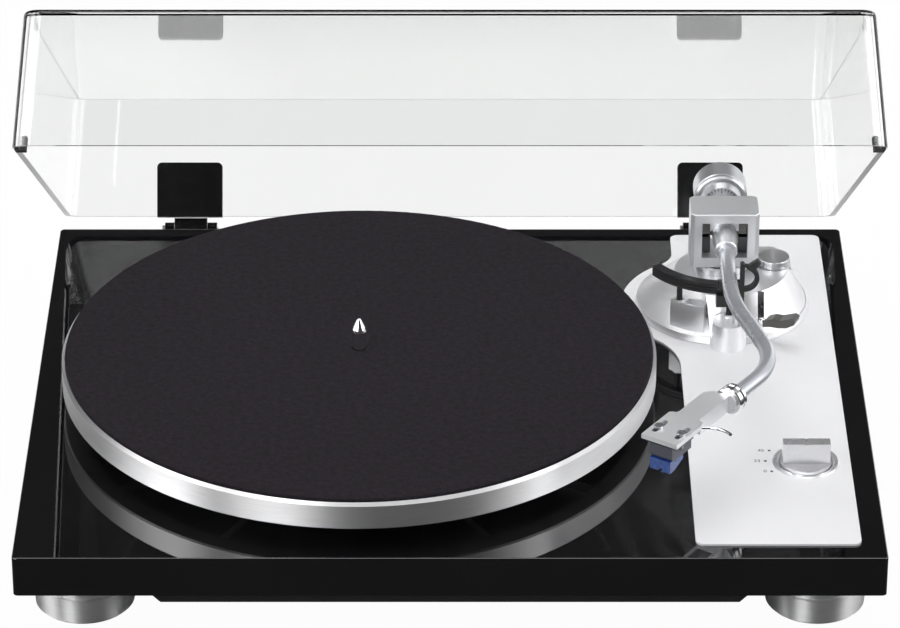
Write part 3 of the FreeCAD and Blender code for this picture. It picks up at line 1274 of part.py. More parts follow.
def make_cartridge_screws():
    """Two screws down the slots into the cartridge's flange."""
    x = cartridge_x()
    y = -SHELL_L + 10.0
    top = SHELL_TOP
    screws = []
    for s in (-1, 1):
        sx = x + s * SLOT_PITCH / 2
        head = post(2.2, top, top + 1.3, sx, y)
        slit = box(sx - 2.3, sx + 2.3, y - 0.3, y + 0.3, top + 0.8, top + 1.3)
        shank = post(1.2, top - SHELL_PLATE - 5.0, top, sx, y)
        screws.append(along_shell(fuse(head.cut(slit), shank)))
    return group(screws)


def make_counterweight():
    """Turned weight with a bright front lip and a groove, free to slide on the stub."""
    y0 = PIVOT_Y + WEIGHT_FRONT
    y1 = y0 + WEIGHT_L
    bore = STUB_R + STUB_CLEARANCE
    return turned_along([
        (bore, y0), (WEIGHT_R - 1.0, y0), (WEIGHT_R, y0 + 1.0), (WEIGHT_R, y0 + 2.4),
        (WEIGHT_R - 0.5, y0 + 2.8), (WEIGHT_R - 0.5, y0 + 3.4), (WEIGHT_R, y0 + 3.8),
        (WEIGHT_R, y1 - 1.0), (WEIGHT_R - 1.0, y1), (bore, y1)], tube_x(), ARM_Z)


def make_dial_ring():
    y1 = PIVOT_Y + WEIGHT_FRONT - 0.15
    y0 = y1 - DIAL_T
    bore = STUB_R + STUB_CLEARANCE
    return turned_along([(bore, y0), (DIAL_R - 1.4, y0), (DIAL_R, y1 - 0.8), (DIAL_R, y1), (bore, y1)],
                        tube_x(), ARM_Z)


def rear_panel_z():
    return (PLINTH_BOTTOM + PLINTH_TOP) / 2 - 0.5


def panel_face():
    return PLINTH_REAR - PANEL_BACK + PANEL_T


def jack_xs():
    return [PLINTH_X - 30.0 + JACK_PITCH * i for i in range(2)]


def make_rear_panel():
    """Steel strip let into the rear edge, cut out for its jacks, switch and inlet."""
    z = rear_panel_z()
    seat = PLINTH_REAR - PANEL_BACK
    face = panel_face()
    panel = box(PLINTH_X - PANEL_W / 2, PLINTH_X + PANEL_W / 2, seat, face, z - PANEL_H / 2, z + PANEL_H / 2)
    cuts = [rod(3.1, vec(x, seat, z), vec(x, face, z)) for x in jack_xs()]
    cuts.append(rod(2.1, vec(PLINTH_X - 47.0, seat, z), vec(PLINTH_X - 47.0, face, z)))
    cuts.append(box(PLINTH_X + 6.0, PLINTH_X + 18.0, seat, face, z - 2.2, z + 2.2))
    cuts.append(rod(4.6, vec(PLINTH_X + 38.0, seat, z), vec(PLINTH_X + 38.0, face, z)))
    return panel.cut(cuts)


def make_phono_jacks():
    """Two sockets whose shells stand out behind the panel."""
    z = rear_panel_z()
    jacks = []
    for x in jack_xs():
        face = panel_face()
        profile = [(1.7, face + 9.0), (JACK_R, face + 9.0), (JACK_R, face + 0.8), (5.6, face + 0.8),
                   (5.6, face), (3.0, face), (3.0, face - 9.0), (0, face - 9.0), (0, face - 2.0),
                   (1.7, face - 2.0)]
        jacks.append(turned_along(profile, x, z))
    return group(jacks)


def make_ground_post():
    z = rear_panel_z()
    y = panel_face()
    return turned_along([(0, y - 5.0), (2.0, y - 5.0), (2.0, y), (4.2, y), (4.2, y + 1.0), (2.0, y + 1.0),
                         (2.0, y + 2.2), (4.0, y + 2.2), (4.0, y + 6.5), (3.4, y + 7.0), (0, y + 7.0)],
                        PLINTH_X - 47.0, z)


def make_power_inlet():
    """Low-voltage socket with a centre pin."""
    z = rear_panel_z()
    y = panel_face()
    x = PLINTH_X + 38.0
    shell = turned_along([(2.8, y + 0.8), (5.4, y + 0.8), (5.4, y), (4.5, y), (4.5, y - 10.0), (0, y - 10.0),
                          (0, y - 9.0), (2.8, y - 9.0)], x, z)
    pin = rod(1.0, vec(x, y - 9.5, z), vec(x, y - 0.5, z))
    return fuse(shell, pin)


def make_output_switch():
    """Housing of the slide switch behind the panel's window."""
    z = rear_panel_z()
    seat = PLINTH_REAR - PANEL_BACK
    x = PLINTH_X + 12.0
    body = box(x - 8.0, x + 8.0, seat - 6.0, seat, z - 3.6, z + 3.6)
    track = box(x - 5.9, x + 5.9, seat - 2.5, seat, z - 2.1, z + 2.1)
    return body.cut(track)


def make_switch_slider():
    z = rear_panel_z()
    seat = PLINTH_REAR - PANEL_BACK
    x = PLINTH_X + 12.0 - 2.0
    return box(x - 3.6, x + 3.6, seat - 2.4, panel_face() + 1.6, z - 1.9, z + 1.9)


def make_drive_board():
    """Motor control board under the plinth's top wall with its larger parts."""
    x0, x1 = BOARD_LEFT, BOARD_RIGHT
    y0, y1 = BOARD_FRONT, BOARD_REAR
    z1 = POCKET_TOP - BOARD_HANG
    z0 = z1 - BOARD_T
    board = box(x0, x1, y0, y1, z0, z1)
    caps = [post(4.0, z0 - 5.5, z0, x0 + 14.0 + 10.0 * i, y1 - 9.0) for i in range(2)]
    chips = [box(x0 + 22.0, x0 + 36.0, y0 + 8.0, y0 + 22.0, z0 - 1.6, z0),
             box(x1 - 20.0, x1 - 8.0, y0 + 10.0, y0 + 30.0, z0 - 5.0, z0)]
    board = fuse(board, *caps, *chips)
    return board.cut([screw_hole(x, y, z0, z1) for x, y in board_screw_places()])


def board_screw_places():
    inset = BOARD_SCREW_INSET
    xs = (BOARD_LEFT + inset, BOARD_RIGHT - inset)
    ys = (BOARD_FRONT + inset, BOARD_REAR - inset)
    return [(x, y) for x in xs for y in ys]


def make_board_spacers():
    low = POCKET_TOP - BOARD_HANG
    return [ring(3.0, SCREW_R + SCREW_PLAY, low, POCKET_TOP, x, y) for x, y in board_screw_places()]


def write(name, shape):
    shape.exportStep("parts/" + name + ".step")


def main():
    os.makedirs("parts", exist_ok=True)
    write("plinth", make_plinth())
    write("deck_plate", make_deck_plate())
    for name, place in zip(CORNER_NAMES, foot_places()):
        write("foot_" + name, make_foot(*place))
    write("foot_pads", group([make_foot_pad(*place) for place in foot_places()]))
    write("bottom_tray", make_bottom_tray())
    write("motor_plate", make_motor_plate())
    write("pan_screws", group(tray_screws() + motor_screws() + hinge_screws()))
    write("stator_board", make_stator_board())
    write("stator_coils", make_stator_coils())
    write("bearing_housing", fuse(make_bearing_housing(), make_thrust_pad()))
    write("drive_board", fuse(make_drive_board(), *make_board_spacers()))
    write("rear_panel", make_rear_panel())
    write("phono_jacks", make_phono_jacks())
    write("ground_post", make_ground_post())
    write("power_inlet", make_power_inlet())
    write("output_switch", make_output_switch())
    write("switch_slider", make_switch_slider())
    write("platter", make_platter())
    write("mat", make_mat())
    write("spindle_shaft", make_spindle_shaft())
    write("rotor_yoke", make_rotor_yoke())
    write("rotor_magnet", make_rotor_magnet())
    write("dust_cover", make_dust_cover())
    write("cover_bumpers", make_bumpers())
    for name, side in SIDES.items():
        write("hinge_clip_" + name, make_hinge_clip(side))
    write("hinge_bases", group([make_hinge_base(side) for side in SIDES.values()]))
    write("hinge_pins", make_hinge_pins())
    write("arm_base", make_arm_base())
    write("arm_pillar", make_arm_pillar())
    write("pillar_nut", make_pillar_nut())
    write("yaw_bearings", make_yaw_bearings())
    write("lift_housing", fuse(make_lift_housing(), make_lift_nut()))
    write("lift_guide", make_lift_guide())
    write("lift_bar", make_lift_bar())
    write("arm_rest", make_arm_rest())
    write("arm_clip", make_arm_clip())
    write("cue_lever", make_cue_lever())
    write("cue_paddle", make_cue_paddle())
    write("anti_skate_knob", make_skate_knob())
    write("selector_dish", make_selector_dish())
    write("selector_switch", make_selector_switch())
    write("selector_knob", make_selector_knob())
    write("gimbal_frame", fuse(make_gimbal_frame(), make_yaw_shaft()))
    write("gimbal_cap", make_gimbal_cap())
    write("knife_seats", make_knife_seats())
    write("knife_edges", make_knife_edges())
    write("arm_yoke", fuse(make_arm_yoke(), make_rear_stub()))
    write("arm_tube", make_arm_tube())
    write("headshell_collar", make_collar())
    write("headshell", make_headshell())
    write("finger_lift", make_finger_lift())
    write("cartridge_body", make_cartridge_body())
    write("stylus_holder", fuse(make_stylus_holder(), make_cantilever()))
    write("cartridge_screws", make_cartridge_screws())
    write("counterweight", make_counterweight())
    write("dial_ring", make_dial_ring())


main()
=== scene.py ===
import math

import bmesh
import bpy
from mathutils import Matrix, Vector


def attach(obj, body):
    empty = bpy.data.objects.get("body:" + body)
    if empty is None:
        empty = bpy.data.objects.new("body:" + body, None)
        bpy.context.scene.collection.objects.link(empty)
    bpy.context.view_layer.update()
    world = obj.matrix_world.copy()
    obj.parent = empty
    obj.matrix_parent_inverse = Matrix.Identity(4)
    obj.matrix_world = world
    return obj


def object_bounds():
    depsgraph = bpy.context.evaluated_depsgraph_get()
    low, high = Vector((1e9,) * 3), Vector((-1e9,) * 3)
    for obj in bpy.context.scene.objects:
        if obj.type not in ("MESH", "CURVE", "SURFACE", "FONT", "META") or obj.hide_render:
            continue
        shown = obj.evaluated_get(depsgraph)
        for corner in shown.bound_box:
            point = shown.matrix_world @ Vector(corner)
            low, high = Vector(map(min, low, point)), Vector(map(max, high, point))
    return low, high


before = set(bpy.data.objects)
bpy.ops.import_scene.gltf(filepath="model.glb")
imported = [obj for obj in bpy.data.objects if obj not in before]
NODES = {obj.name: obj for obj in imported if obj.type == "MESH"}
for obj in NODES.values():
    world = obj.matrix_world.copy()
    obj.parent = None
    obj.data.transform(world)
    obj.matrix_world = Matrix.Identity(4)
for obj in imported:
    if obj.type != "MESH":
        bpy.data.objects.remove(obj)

MM = 0.001
cad_low, cad_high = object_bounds()

# Camera, at the photograph's viewing angle
CAMERA_PLACE = (0.0458, -2.126, 1.198)
CAMERA_PITCH = math.radians(29.01)
CAMERA_LENS = 193.4
SENSOR = 36.0

# Studio
FLOOR_SIZE = 12.0
FLOOR_GREY = 0.86
FLOOR_GREY_DRIFT = 0.02
FLOOR_GLOW = 0.97
FLOOR_FRONT = 0.05
FLOOR_REAR = 0.95
SWEEP_END = 0.3
DOME_LEVEL = 0.65
DRAPE_LEVEL = 0.04
OVERHEAD_LEVEL = 1.0
OVERHEAD_EDGE = 0.84
OVERHEAD_CORE = 0.95

# Where a panel is at full level and where it ends, as shares of its half width and its height
PANEL_CORE = 0.7
PANEL_EDGE = 1.25
PANEL_TOP_CORE = 0.75
PANEL_TOP_EDGE = 1.15

# Bright panels round the object, seen only in reflections:
# heading from the front, half width and height in degrees, and level
PANELS = (
    (-80, 17, 55, 2.8),
    (-31, 13, 55, 4.2),
    (-112, 12, 45, 0.3),
    (86, 30, 55, 1.9),
    (140, 14, 45, 0.8),
    (172, 28, 8, 1.0),
)

# Soft lamps: name, place, width, height and power
LAMPS = (
    ("overhead", (0.1, 0.1, 1.7), 1.6, 1.2, 11),
    ("left", (-1.6, -0.6, 0.9), 0.7, 1.4, 6),
    ("right", (1.7, -0.5, 0.9), 0.5, 1.4, 5),
)
LAMP_AIM = (0.05, 0.0, 0.0)

# Speed marks printed beside the selector: number and the place of its dot
SPEEDS = (("45", 204.2, -60.3), ("33", 201.7, -70.4), ("0", 204.3, -80.4))
PRINT_Z = -24.99 * MM
PRINT_T = 0.02 * MM
DOT_R = 0.75 * MM
DIGIT_SIZE = 3.4 * MM
DIGIT_GAP = 2.4
DOT_SIDES = 20

# Marks on the dial ring's face
DIAL_MARKS = 30
DIAL_LONG_EVERY = 5
DIAL_MARK_IN = 6.6 * MM
DIAL_MARK_OUT = 9.4 * MM
DIAL_MARK_HALF = 0.22 * MM
DIAL_MARK_T = 0.03 * MM

# How far the roughness of a satin or moulded surface drifts each way
ROUGH_DRIFT = 0.05


def material(name):
    """New node material and its shader."""
    made = bpy.data.materials.new(name)
    made.use_nodes = True
    return made, made.node_tree, made.node_tree.nodes["Principled BSDF"]


def node(tree, kind, **settings):
    made = tree.nodes.new(kind)
    for key, value in settings.items():
        setattr(made, key, value)
    return made


def place(tree, stretch=(1, 1, 1)):
    """Coordinates fixed to the piece, in metres, stretched by a factor along each axis."""
    coords = node(tree, "ShaderNodeTexCoord")
    mapping = node(tree, "ShaderNodeMapping")
    mapping.inputs["Scale"].default_value = stretch
    tree.links.new(coords.outputs["Object"], mapping.inputs["Vector"])
    return mapping.outputs["Vector"]


def noise(tree, grain_mm, detail=3.0, stretch=(1, 1, 1)):
    """Noise whose grains are about grain_mm wide."""
    made = node(tree, "ShaderNodeTexNoise")
    made.inputs["Scale"].default_value = 1000.0 / grain_mm
    made.inputs["Detail"].default_value = detail
    tree.links.new(place(tree, stretch), made.inputs["Vector"])
    return made.outputs["Fac"]


def spread(tree, value, low, high, start=0.3, end=0.7):
    """The part of a value from start to end, mapped to low to high."""
    made = node(tree, "ShaderNodeMapRange")
    made.inputs["From Min"].default_value = start
    made.inputs["From Max"].default_value = end
    made.inputs["To Min"].default_value = low
    made.inputs["To Max"].default_value = high
    tree.links.new(value, made.inputs["Value"])
    return made.outputs["Result"]


def two_tone(tree, value, dark, light, start=0.3, end=0.7):
    """Colour ramp between two tones."""
    ramp = node(tree, "ShaderNodeValToRGB")
    ramp.color_ramp.elements[0].position = start
    ramp.color_ramp.elements[0].color = (*dark, 1)
    ramp.color_ramp.elements[1].position = end
    ramp.color_ramp.elements[1].color = (*light, 1)
    tree.links.new(value, ramp.inputs["Fac"])
    return ramp.outputs["Color"]


def bump(tree, shader, height, depth_mm, strength):
    made = node(tree, "ShaderNodeBump")
    made.inputs["Strength"].default_value = strength
    made.inputs["Distance"].default_value = depth_mm * MM
    tree.links.new(height, made.inputs["Height"])
    tree.links.new(made.outputs["Normal"], shader.inputs["Normal"])


def satin_metal(name, colour, rough, grain=0.35, depth=0.01, metallic=1.0):
    """Blasted or satin metal: fine grain in its tone, sheen and surface."""
    made, tree, shader = material(name)
    fine = noise(tree, grain, 4.0)
    broad = noise(tree, 40.0, 2.0)
    dark = tuple(c * 0.93 for c in colour)
    light = tuple(min(1.0, c * 1.05) for c in colour)
    tree.links.new(two_tone(tree, fine, dark, light), shader.inputs["Base Color"])
    tree.links.new(spread(tree, broad, rough - ROUGH_DRIFT, rough + ROUGH_DRIFT), shader.inputs["Roughness"])
    shader.inputs["Metallic"].default_value = metallic
    bump(tree, shader, fine, depth, 0.6)
    return made


def turned_metal(name, colour, rough, line_mm=0.25, depth=0.004, anisotropy=0.9, axis="Z",
                 metallic=1.0):
    """Lathe turned metal with fine lines round its axis, which spread its highlights along the axis."""
    made, tree, shader = material(name)
    stretch = (0.02, 0.02, 1) if axis == "Z" else (0.02, 1, 0.02)
    lines = noise(tree, line_mm, 3.0, stretch)
    dark = tuple(c * 0.9 for c in colour)
    tree.links.new(two_tone(tree, lines, dark, colour), shader.inputs["Base Color"])
    tree.links.new(spread(tree, lines, rough - 0.03, rough + 0.05), shader.inputs["Roughness"])
    shader.inputs["Metallic"].default_value = metallic
    shader.inputs["Anisotropic"].default_value = anisotropy
    shader.inputs["Anisotropic Rotation"].default_value = 0.25
    tangent = node(tree, "ShaderNodeTangent", direction_type="RADIAL", axis=axis)
    tree.links.new(tangent.outputs["Tangent"], shader.inputs["Tangent"])
    bump(tree, shader, lines, depth, 0.5)
    return made


def moulded(name, colour, rough, grain=0.3, depth=0.01, drift=ROUGH_DRIFT):
    """Moulded plastic, rubber or paint with a fine grain."""
    made, tree, shader = material(name)
    fine = noise(tree, grain, 3.0)
    broad = noise(tree, 12.0, 2.0)
    dark = tuple(c * 0.85 for c in colour)
    light = tuple(min(1.0, c * 1.15) for c in colour)
    tree.links.new(two_tone(tree, fine, dark, light), shader.inputs["Base Color"])
    tree.links.new(spread(tree, broad, rough - drift, rough + drift), shader.inputs["Roughness"])
    bump(tree, shader, fine, depth, 0.4)
    return made


def lacquer():
    made, tree, shader = material("black_lacquer")
    broad = noise(tree, 60.0, 3.0)
    ripple = noise(tree, 9.0, 1.0)
    dark = (0.0028, 0.0028, 0.0034)
    light = (0.004, 0.004, 0.0046)
    tree.links.new(two_tone(tree, broad, dark, light), shader.inputs["Base Color"])
    tree.links.new(spread(tree, broad, 0.015, 0.04), shader.inputs["Roughness"])
    shader.inputs["Coat Weight"].default_value = 1.0
    shader.inputs["Coat Roughness"].default_value = 0.02
    bump(tree, shader, ripple, 0.003, 0.1)
    return made


def felt():
    made, tree, shader = material("mat_felt")
    fibre = noise(tree, 0.7, 6.0)
    cloud = noise(tree, 3.0, 4.0)
    mixed = node(tree, "ShaderNodeMath", operation="MULTIPLY_ADD")
    mixed.inputs[1].default_value = 0.65
    tree.links.new(fibre, mixed.inputs[0])
    share = node(tree, "ShaderNodeMath", operation="MULTIPLY")
    share.inputs[1].default_value = 0.35
    tree.links.new(cloud, share.inputs[0])
    tree.links.new(share.outputs[0], mixed.inputs[2])
    dark = (0.0086, 0.0069, 0.009)
    light = (0.0235, 0.0195, 0.0248)
    tree.links.new(two_tone(tree, mixed.outputs[0], dark, light, 0.36, 0.64), shader.inputs["Base Color"])
    shader.inputs["Roughness"].default_value = 0.95
    shader.inputs["Specular IOR Level"].default_value = 0.1
    shader.inputs["Sheen Weight"].default_value = 0.02
    bump(tree, shader, mixed.outputs[0], 0.25, 0.8)
    return made


def acrylic():
    """Clear moulded cover."""
    made, tree, shader = material("clear_acrylic")
    broad = noise(tree, 80.0, 2.0)
    dark = (0.955, 0.96, 0.957)
    light = (0.965, 0.97, 0.967)
    tree.links.new(two_tone(tree, broad, dark, light), shader.inputs["Base Color"])
    shader.inputs["Roughness"].default_value = 0.0
    shader.inputs["IOR"].default_value = 1.49
    shader.inputs["Transmission Weight"].default_value = 1.0
    return made


def clear_blue():
    made, tree, shader = material("stylus_blue")
    cloud = noise(tree, 1.5, 2.0)
    dark = (0.008, 0.045, 0.22)
    light = (0.018, 0.08, 0.34)
    tree.links.new(two_tone(tree, cloud, dark, light), shader.inputs["Base Color"])
    shader.inputs["Roughness"].default_value = 0.18
    shader.inputs["Coat Weight"].default_value = 0.5
    return made


def make_materials():
    """One material for each kind of surface, by the names used in SURFACES.

    The numbers after a colour are its roughness, then the size and depth of its grain in mm,
    then for satin metal its metallic share, and for turned metal its anisotropy and lathe axis.
    """
    return {
        "lacquer": lacquer(),
        "deck": satin_metal("deck_aluminium", (0.88, 0.88, 0.895), 0.5, 0.25, 0.02, 0.12),
        "turned": turned_metal("turned_aluminium", (0.92, 0.92, 0.93), 0.45),
        "foot": turned_metal("foot_aluminium", (0.96, 0.96, 0.97), 0.45, metallic=0.85),
        "felt": felt(),
        "cover": acrylic(),
        "arm": satin_metal("arm_silver", (0.86, 0.87, 0.89), 0.38, 0.2, 0.006, 0.8),
        "base": satin_metal("base_silver", (0.92, 0.92, 0.94), 0.34, 0.3, 0.01, 0.8),
        "tube": satin_metal("tube_silver", (0.66, 0.68, 0.73), 0.3, 0.2, 0.006, 0.75),
        "polished": satin_metal("polished_metal", (0.88, 0.88, 0.89), 0.14, 0.2, 0.002),
        "weight": turned_metal("weight_silver", (0.66, 0.67, 0.69), 0.34, 0.2, 0.004, 0.7, "Y"),
        "knob": turned_metal("knob_silver", (0.84, 0.84, 0.86), 0.3, 0.2, 0.004, 0.7, metallic=0.93),
        "dish": satin_metal("dish_silver", (0.93, 0.93, 0.95), 0.28, 0.2, 0.004, 0.78),
        "shell": satin_metal("shell_silver", (0.93, 0.935, 0.96), 0.36, 0.2, 0.006, 0.72),
        "selector": satin_metal("selector_silver", (0.8, 0.8, 0.82), 0.26, 0.2, 0.004, 0.8),
        "pillar": satin_metal("pillar_grey", (0.42, 0.42, 0.44), 0.3, 0.2, 0.004),
        "steel": satin_metal("plain_steel", (0.55, 0.55, 0.57), 0.3, 0.4, 0.004),
        "gold": satin_metal("gold_plate", (0.78, 0.56, 0.22), 0.2, 0.3, 0.002),
        "brass": satin_metal("bearing_brass", (0.68, 0.5, 0.24), 0.28, 0.3, 0.004),
        "copper": satin_metal("copper_winding", (0.72, 0.32, 0.14), 0.35, 0.25, 0.05),
        "ferrite": moulded("ferrite", (0.05, 0.05, 0.055), 0.6, 0.4, 0.02),
        "black": moulded("black_moulding", (0.010, 0.010, 0.011), 0.4, 0.3, 0.006),
        "gloss_black": moulded("black_gloss_moulding", (0.003, 0.003, 0.0035), 0.2, 0.5, 0.002, 0.03),
        "tray": moulded("black_tray", (0.012, 0.012, 0.012), 0.45, 0.5, 0.02),
        "rubber": moulded("rubber", (0.018, 0.018, 0.018), 0.75, 0.4, 0.02),
        "board": moulded("circuit_board", (0.02, 0.13, 0.06), 0.35, 0.6, 0.01),
        "cartridge": moulded("cartridge_grey", (0.075, 0.082, 0.1), 0.4, 0.2, 0.01),
        "lever": moulded("lever_grey", (0.085, 0.083, 0.078), 0.4, 0.25, 0.01),
        "blue": clear_blue(),
        "dark": satin_metal("dark_steel", (0.1, 0.1, 0.105), 0.35, 0.2, 0.004),
        "print": moulded("printed_ink", (0.035, 0.035, 0.04), 0.6, 0.3, 0.001),
        "holder": satin_metal("knife_holder", (0.16, 0.155, 0.15), 0.3, 1.2, 0.03, 0.6),
    }


SURFACES = {
    "plinth": "lacquer", "deck_plate": "deck", "bottom_tray": "tray", "foot_pads": "rubber",
    "foot_front_left": "foot", "foot_front_right": "foot", "foot_rear_left": "foot",
    "foot_rear_right": "foot", "pan_screws": "steel", "motor_plate": "steel", "stator_board": "board",
    "stator_coils": "copper",
    "bearing_housing": "brass", "drive_board": "board", "rear_panel": "black", "phono_jacks": "gold",
    "ground_post": "gold", "power_inlet": "black", "output_switch": "black", "switch_slider": "black",
    "hinge_bases": "gloss_black", "hinge_pins": "steel", "hinge_clip_left": "gloss_black",
    "hinge_clip_right": "gloss_black", "arm_base": "base", "arm_pillar": "pillar", "pillar_nut": "steel",
    "yaw_bearings": "steel", "lift_housing": "base", "lift_guide": "base", "arm_rest": "black",
    "arm_clip": "black", "lift_bar": "black", "selector_dish": "dish", "selector_knob": "selector",
    "selector_switch": "black", "platter": "turned", "mat": "felt", "spindle_shaft": "polished",
    "rotor_yoke": "steel", "rotor_magnet": "ferrite", "dust_cover": "cover", "cover_bumpers": "rubber",
    "gimbal_frame": "arm", "gimbal_cap": "arm", "knife_seats": "dark", "knife_edges": "holder",
    "arm_yoke": "arm", "arm_tube": "tube", "headshell": "shell", "finger_lift": "polished",
    "cartridge_body": "cartridge", "stylus_holder": "blue", "cartridge_screws": "steel",
    "headshell_collar": "polished", "counterweight": "weight", "dial_ring": "weight",
    "cue_lever": "polished", "cue_paddle": "lever", "anti_skate_knob": "knob",
}


def dress(surfaces):
    """Give each node its material. The cover casts no shadow, and glossy rays pass the hinge clips."""
    for name, piece in NODES.items():
        piece.data.materials.clear()
        piece.data.materials.append(surfaces[SURFACES[name]])
    NODES["dust_cover"].visible_shadow = False
    NODES["hinge_clip_left"].visible_glossy = False
    NODES["hinge_clip_right"].visible_glossy = False


def join_parts(name, parts, surface, body):
    """One added piece made of several small meshes, which moves with a body."""
    mesh = bpy.data.meshes.new(name)
    build = bmesh.new()
    for verts, faces in parts:
        made = [build.verts.new(v) for v in verts]
        for face in faces:
            build.faces.new([made[i] for i in face])
    build.to_mesh(mesh)
    build.free()
    mesh.materials.append(surface)
    piece = bpy.data.objects.new(name, mesh)
    bpy.context.scene.collection.objects.link(piece)
    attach(piece, body)


def disc(centre, radius, height):
    """Thin disc on a level surface: its wall and its top."""
    x, y, z = centre
    ring = []
    for i in range(DOT_SIDES):
        turn = 2 * math.pi * i / DOT_SIDES
        ring.append((x + radius * math.cos(turn), y + radius * math.sin(turn)))
    verts = [(px, py, z) for px, py in ring] + [(px, py, z + height) for px, py in ring]
    walls = []
    for i in range(DOT_SIDES):
        after = (i + 1) % DOT_SIDES
        walls.append((i, after, DOT_SIDES + after, DOT_SIDES + i))
    return verts, walls + [tuple(range(DOT_SIDES, 2 * DOT_SIDES))]


def lettering(name, words, size, right_at):
    """Flat printed characters that end at a point, as vertices and faces."""
    curve = bpy.data.curves.new(name, "FONT")
    curve.body = words
    curve.size = size
    curve.align_x = "RIGHT"
    curve.align_y = "CENTER"
    holder = bpy.data.objects.new(name, curve)
    bpy.context.scene.collection.objects.link(holder)
    mesh = bpy.data.meshes.new_from_object(holder.evaluated_get(bpy.context.evaluated_depsgraph_get()))
    verts = [tuple(v.co + Vector(right_at)) for v in mesh.vertices]
    faces = [tuple(p.vertices) for p in mesh.polygons]
    bpy.data.objects.remove(holder)
    bpy.data.curves.remove(curve)
    bpy.data.meshes.remove(mesh)
    return verts, faces


def dial_ticks():
    """Force marks round the front face of the dial ring, with a longer one at equal steps."""
    ring = NODES["dial_ring"]
    corners = [ring.matrix_world @ Vector(corner) for corner in ring.bound_box]
    x = (min(c.x for c in corners) + max(c.x for c in corners)) / 2
    z = (min(c.z for c in corners) + max(c.z for c in corners)) / 2
    front = min(c.y for c in corners)
    parts = []
    for i in range(DIAL_MARKS):
        inner = DIAL_MARK_IN if i % DIAL_LONG_EVERY == 0 else (DIAL_MARK_IN + DIAL_MARK_OUT) / 2
        turn = Matrix.Rotation(2 * math.pi * i / DIAL_MARKS, 3, "Y")
        verts = []
        for y in (front - DIAL_MARK_T, front + DIAL_MARK_T):
            for across, out in ((-1, inner), (1, inner), (1, DIAL_MARK_OUT), (-1, DIAL_MARK_OUT)):
                spot = turn @ Vector((across * DIAL_MARK_HALF, 0.0, out))
                verts.append((x + spot.x, y, z + spot.z))
        faces = [(0, 1, 2, 3), (7, 6, 5, 4), (0, 4, 5, 1), (1, 5, 6, 2), (2, 6, 7, 3), (3, 7, 4, 0)]
        parts.append((verts, faces))
    return parts


def make_details(surfaces):
    """Printed marks: the speeds beside the selector and the marks on the dial."""
    parts = []
    for words, x, y in SPEEDS:
        parts.append(disc((x * MM, y * MM, PRINT_Z), DOT_R, PRINT_T))
        right_at = ((x - DIGIT_GAP) * MM, y * MM, PRINT_Z + PRINT_T)
        parts.append(lettering("speed_" + words, words, DIGIT_SIZE, right_at))
    join_parts("speed_marks", parts, surfaces["print"], "root")
    join_parts("dial_marks", dial_ticks(), surfaces["print"], "dial")


def softbox(name, place_at, width, height, power):
    """Soft rectangular lamp that points at the middle of the object."""
    lamp = bpy.data.lights.new(name, "AREA")
    lamp.shape = "RECTANGLE"
    lamp.size = width
    lamp.size_y = height
    lamp.energy = power
    made = bpy.data.objects.new(name, lamp)
    made.location = place_at
    made.rotation_euler = (Vector(LAMP_AIM) - Vector(place_at)).to_track_quat("-Z", "Y").to_euler()
    bpy.context.scene.collection.objects.link(made)


def product(tree, first, second):
    made = node(tree, "ShaderNodeMath", operation="MULTIPLY")
    tree.links.new(first, made.inputs[0])
    tree.links.new(second, made.inputs[1])
    return made.outputs[0]


def total(tree, first, second):
    made = node(tree, "ShaderNodeMath", operation="ADD")
    tree.links.new(first, made.inputs[0])
    tree.links.new(second, made.inputs[1])
    return made.outputs[0]


def above(tree, value, limit):
    made = node(tree, "ShaderNodeMath", operation="GREATER_THAN")
    made.inputs[1].default_value = limit
    tree.links.new(value, made.inputs[0])
    return made.outputs[0]


def below(tree, value, limit):
    made = node(tree, "ShaderNodeMath", operation="LESS_THAN")
    made.inputs[1].default_value = limit
    tree.links.new(value, made.inputs[0])
    return made.outputs[0]


def seen_directly(tree):
    """One for what the camera sees, straight or through the clear cover, and zero elsewhere."""
    rays = node(tree, "ShaderNodeLightPath")
    straight = product(tree, below(tree, rays.outputs["Glossy Depth"], 0.5),
                       below(tree, rays.outputs["Diffuse Depth"], 0.5))
    through = product(tree, rays.outputs["Is Transmission Ray"], straight)
    made = node(tree, "ShaderNodeMath", operation="MAXIMUM")
    tree.links.new(rays.outputs["Is Camera Ray"], made.inputs[0])
    tree.links.new(through, made.inputs[1])
    return made.outputs[0]


def seen_in_gloss(tree):
    rays = node(tree, "ShaderNodeLightPath")
    return above(tree, rays.outputs["Glossy Depth"], 0.5)


def grey_mix(tree, share, first, second):
    """Blend of two greys, each a number or a socket."""
    made = node(tree, "ShaderNodeMapRange")
    tree.links.new(share, made.inputs["Value"])
    for name, grey in (("To Min", first), ("To Max", second)):
        if isinstance(grey, float):
            made.inputs[name].default_value = grey
        else:
            tree.links.new(grey, made.inputs[name])
    return made.outputs["Result"]


def panel(tree, level_way, rise, heading, half_width, height, level):
    """Soft-edged upright panel of light that stands on the horizon."""
    turn = math.radians(heading)
    facing = node(tree, "ShaderNodeVectorMath", operation="DOT_PRODUCT")
    facing.inputs[1].default_value = (math.sin(turn), -math.cos(turn), 0.0)
    tree.links.new(level_way, facing.inputs[0])
    inner = math.cos(math.radians(half_width * PANEL_CORE))
    outer = math.cos(math.radians(half_width * PANEL_EDGE))
    across = spread(tree, facing.outputs["Value"], 0.0, level, outer, inner)
    top = math.sin(math.radians(height))
    up = spread(tree, rise, 1.0, 0.0, top * PANEL_TOP_CORE, top * PANEL_TOP_EDGE)
    return product(tree, across, up)


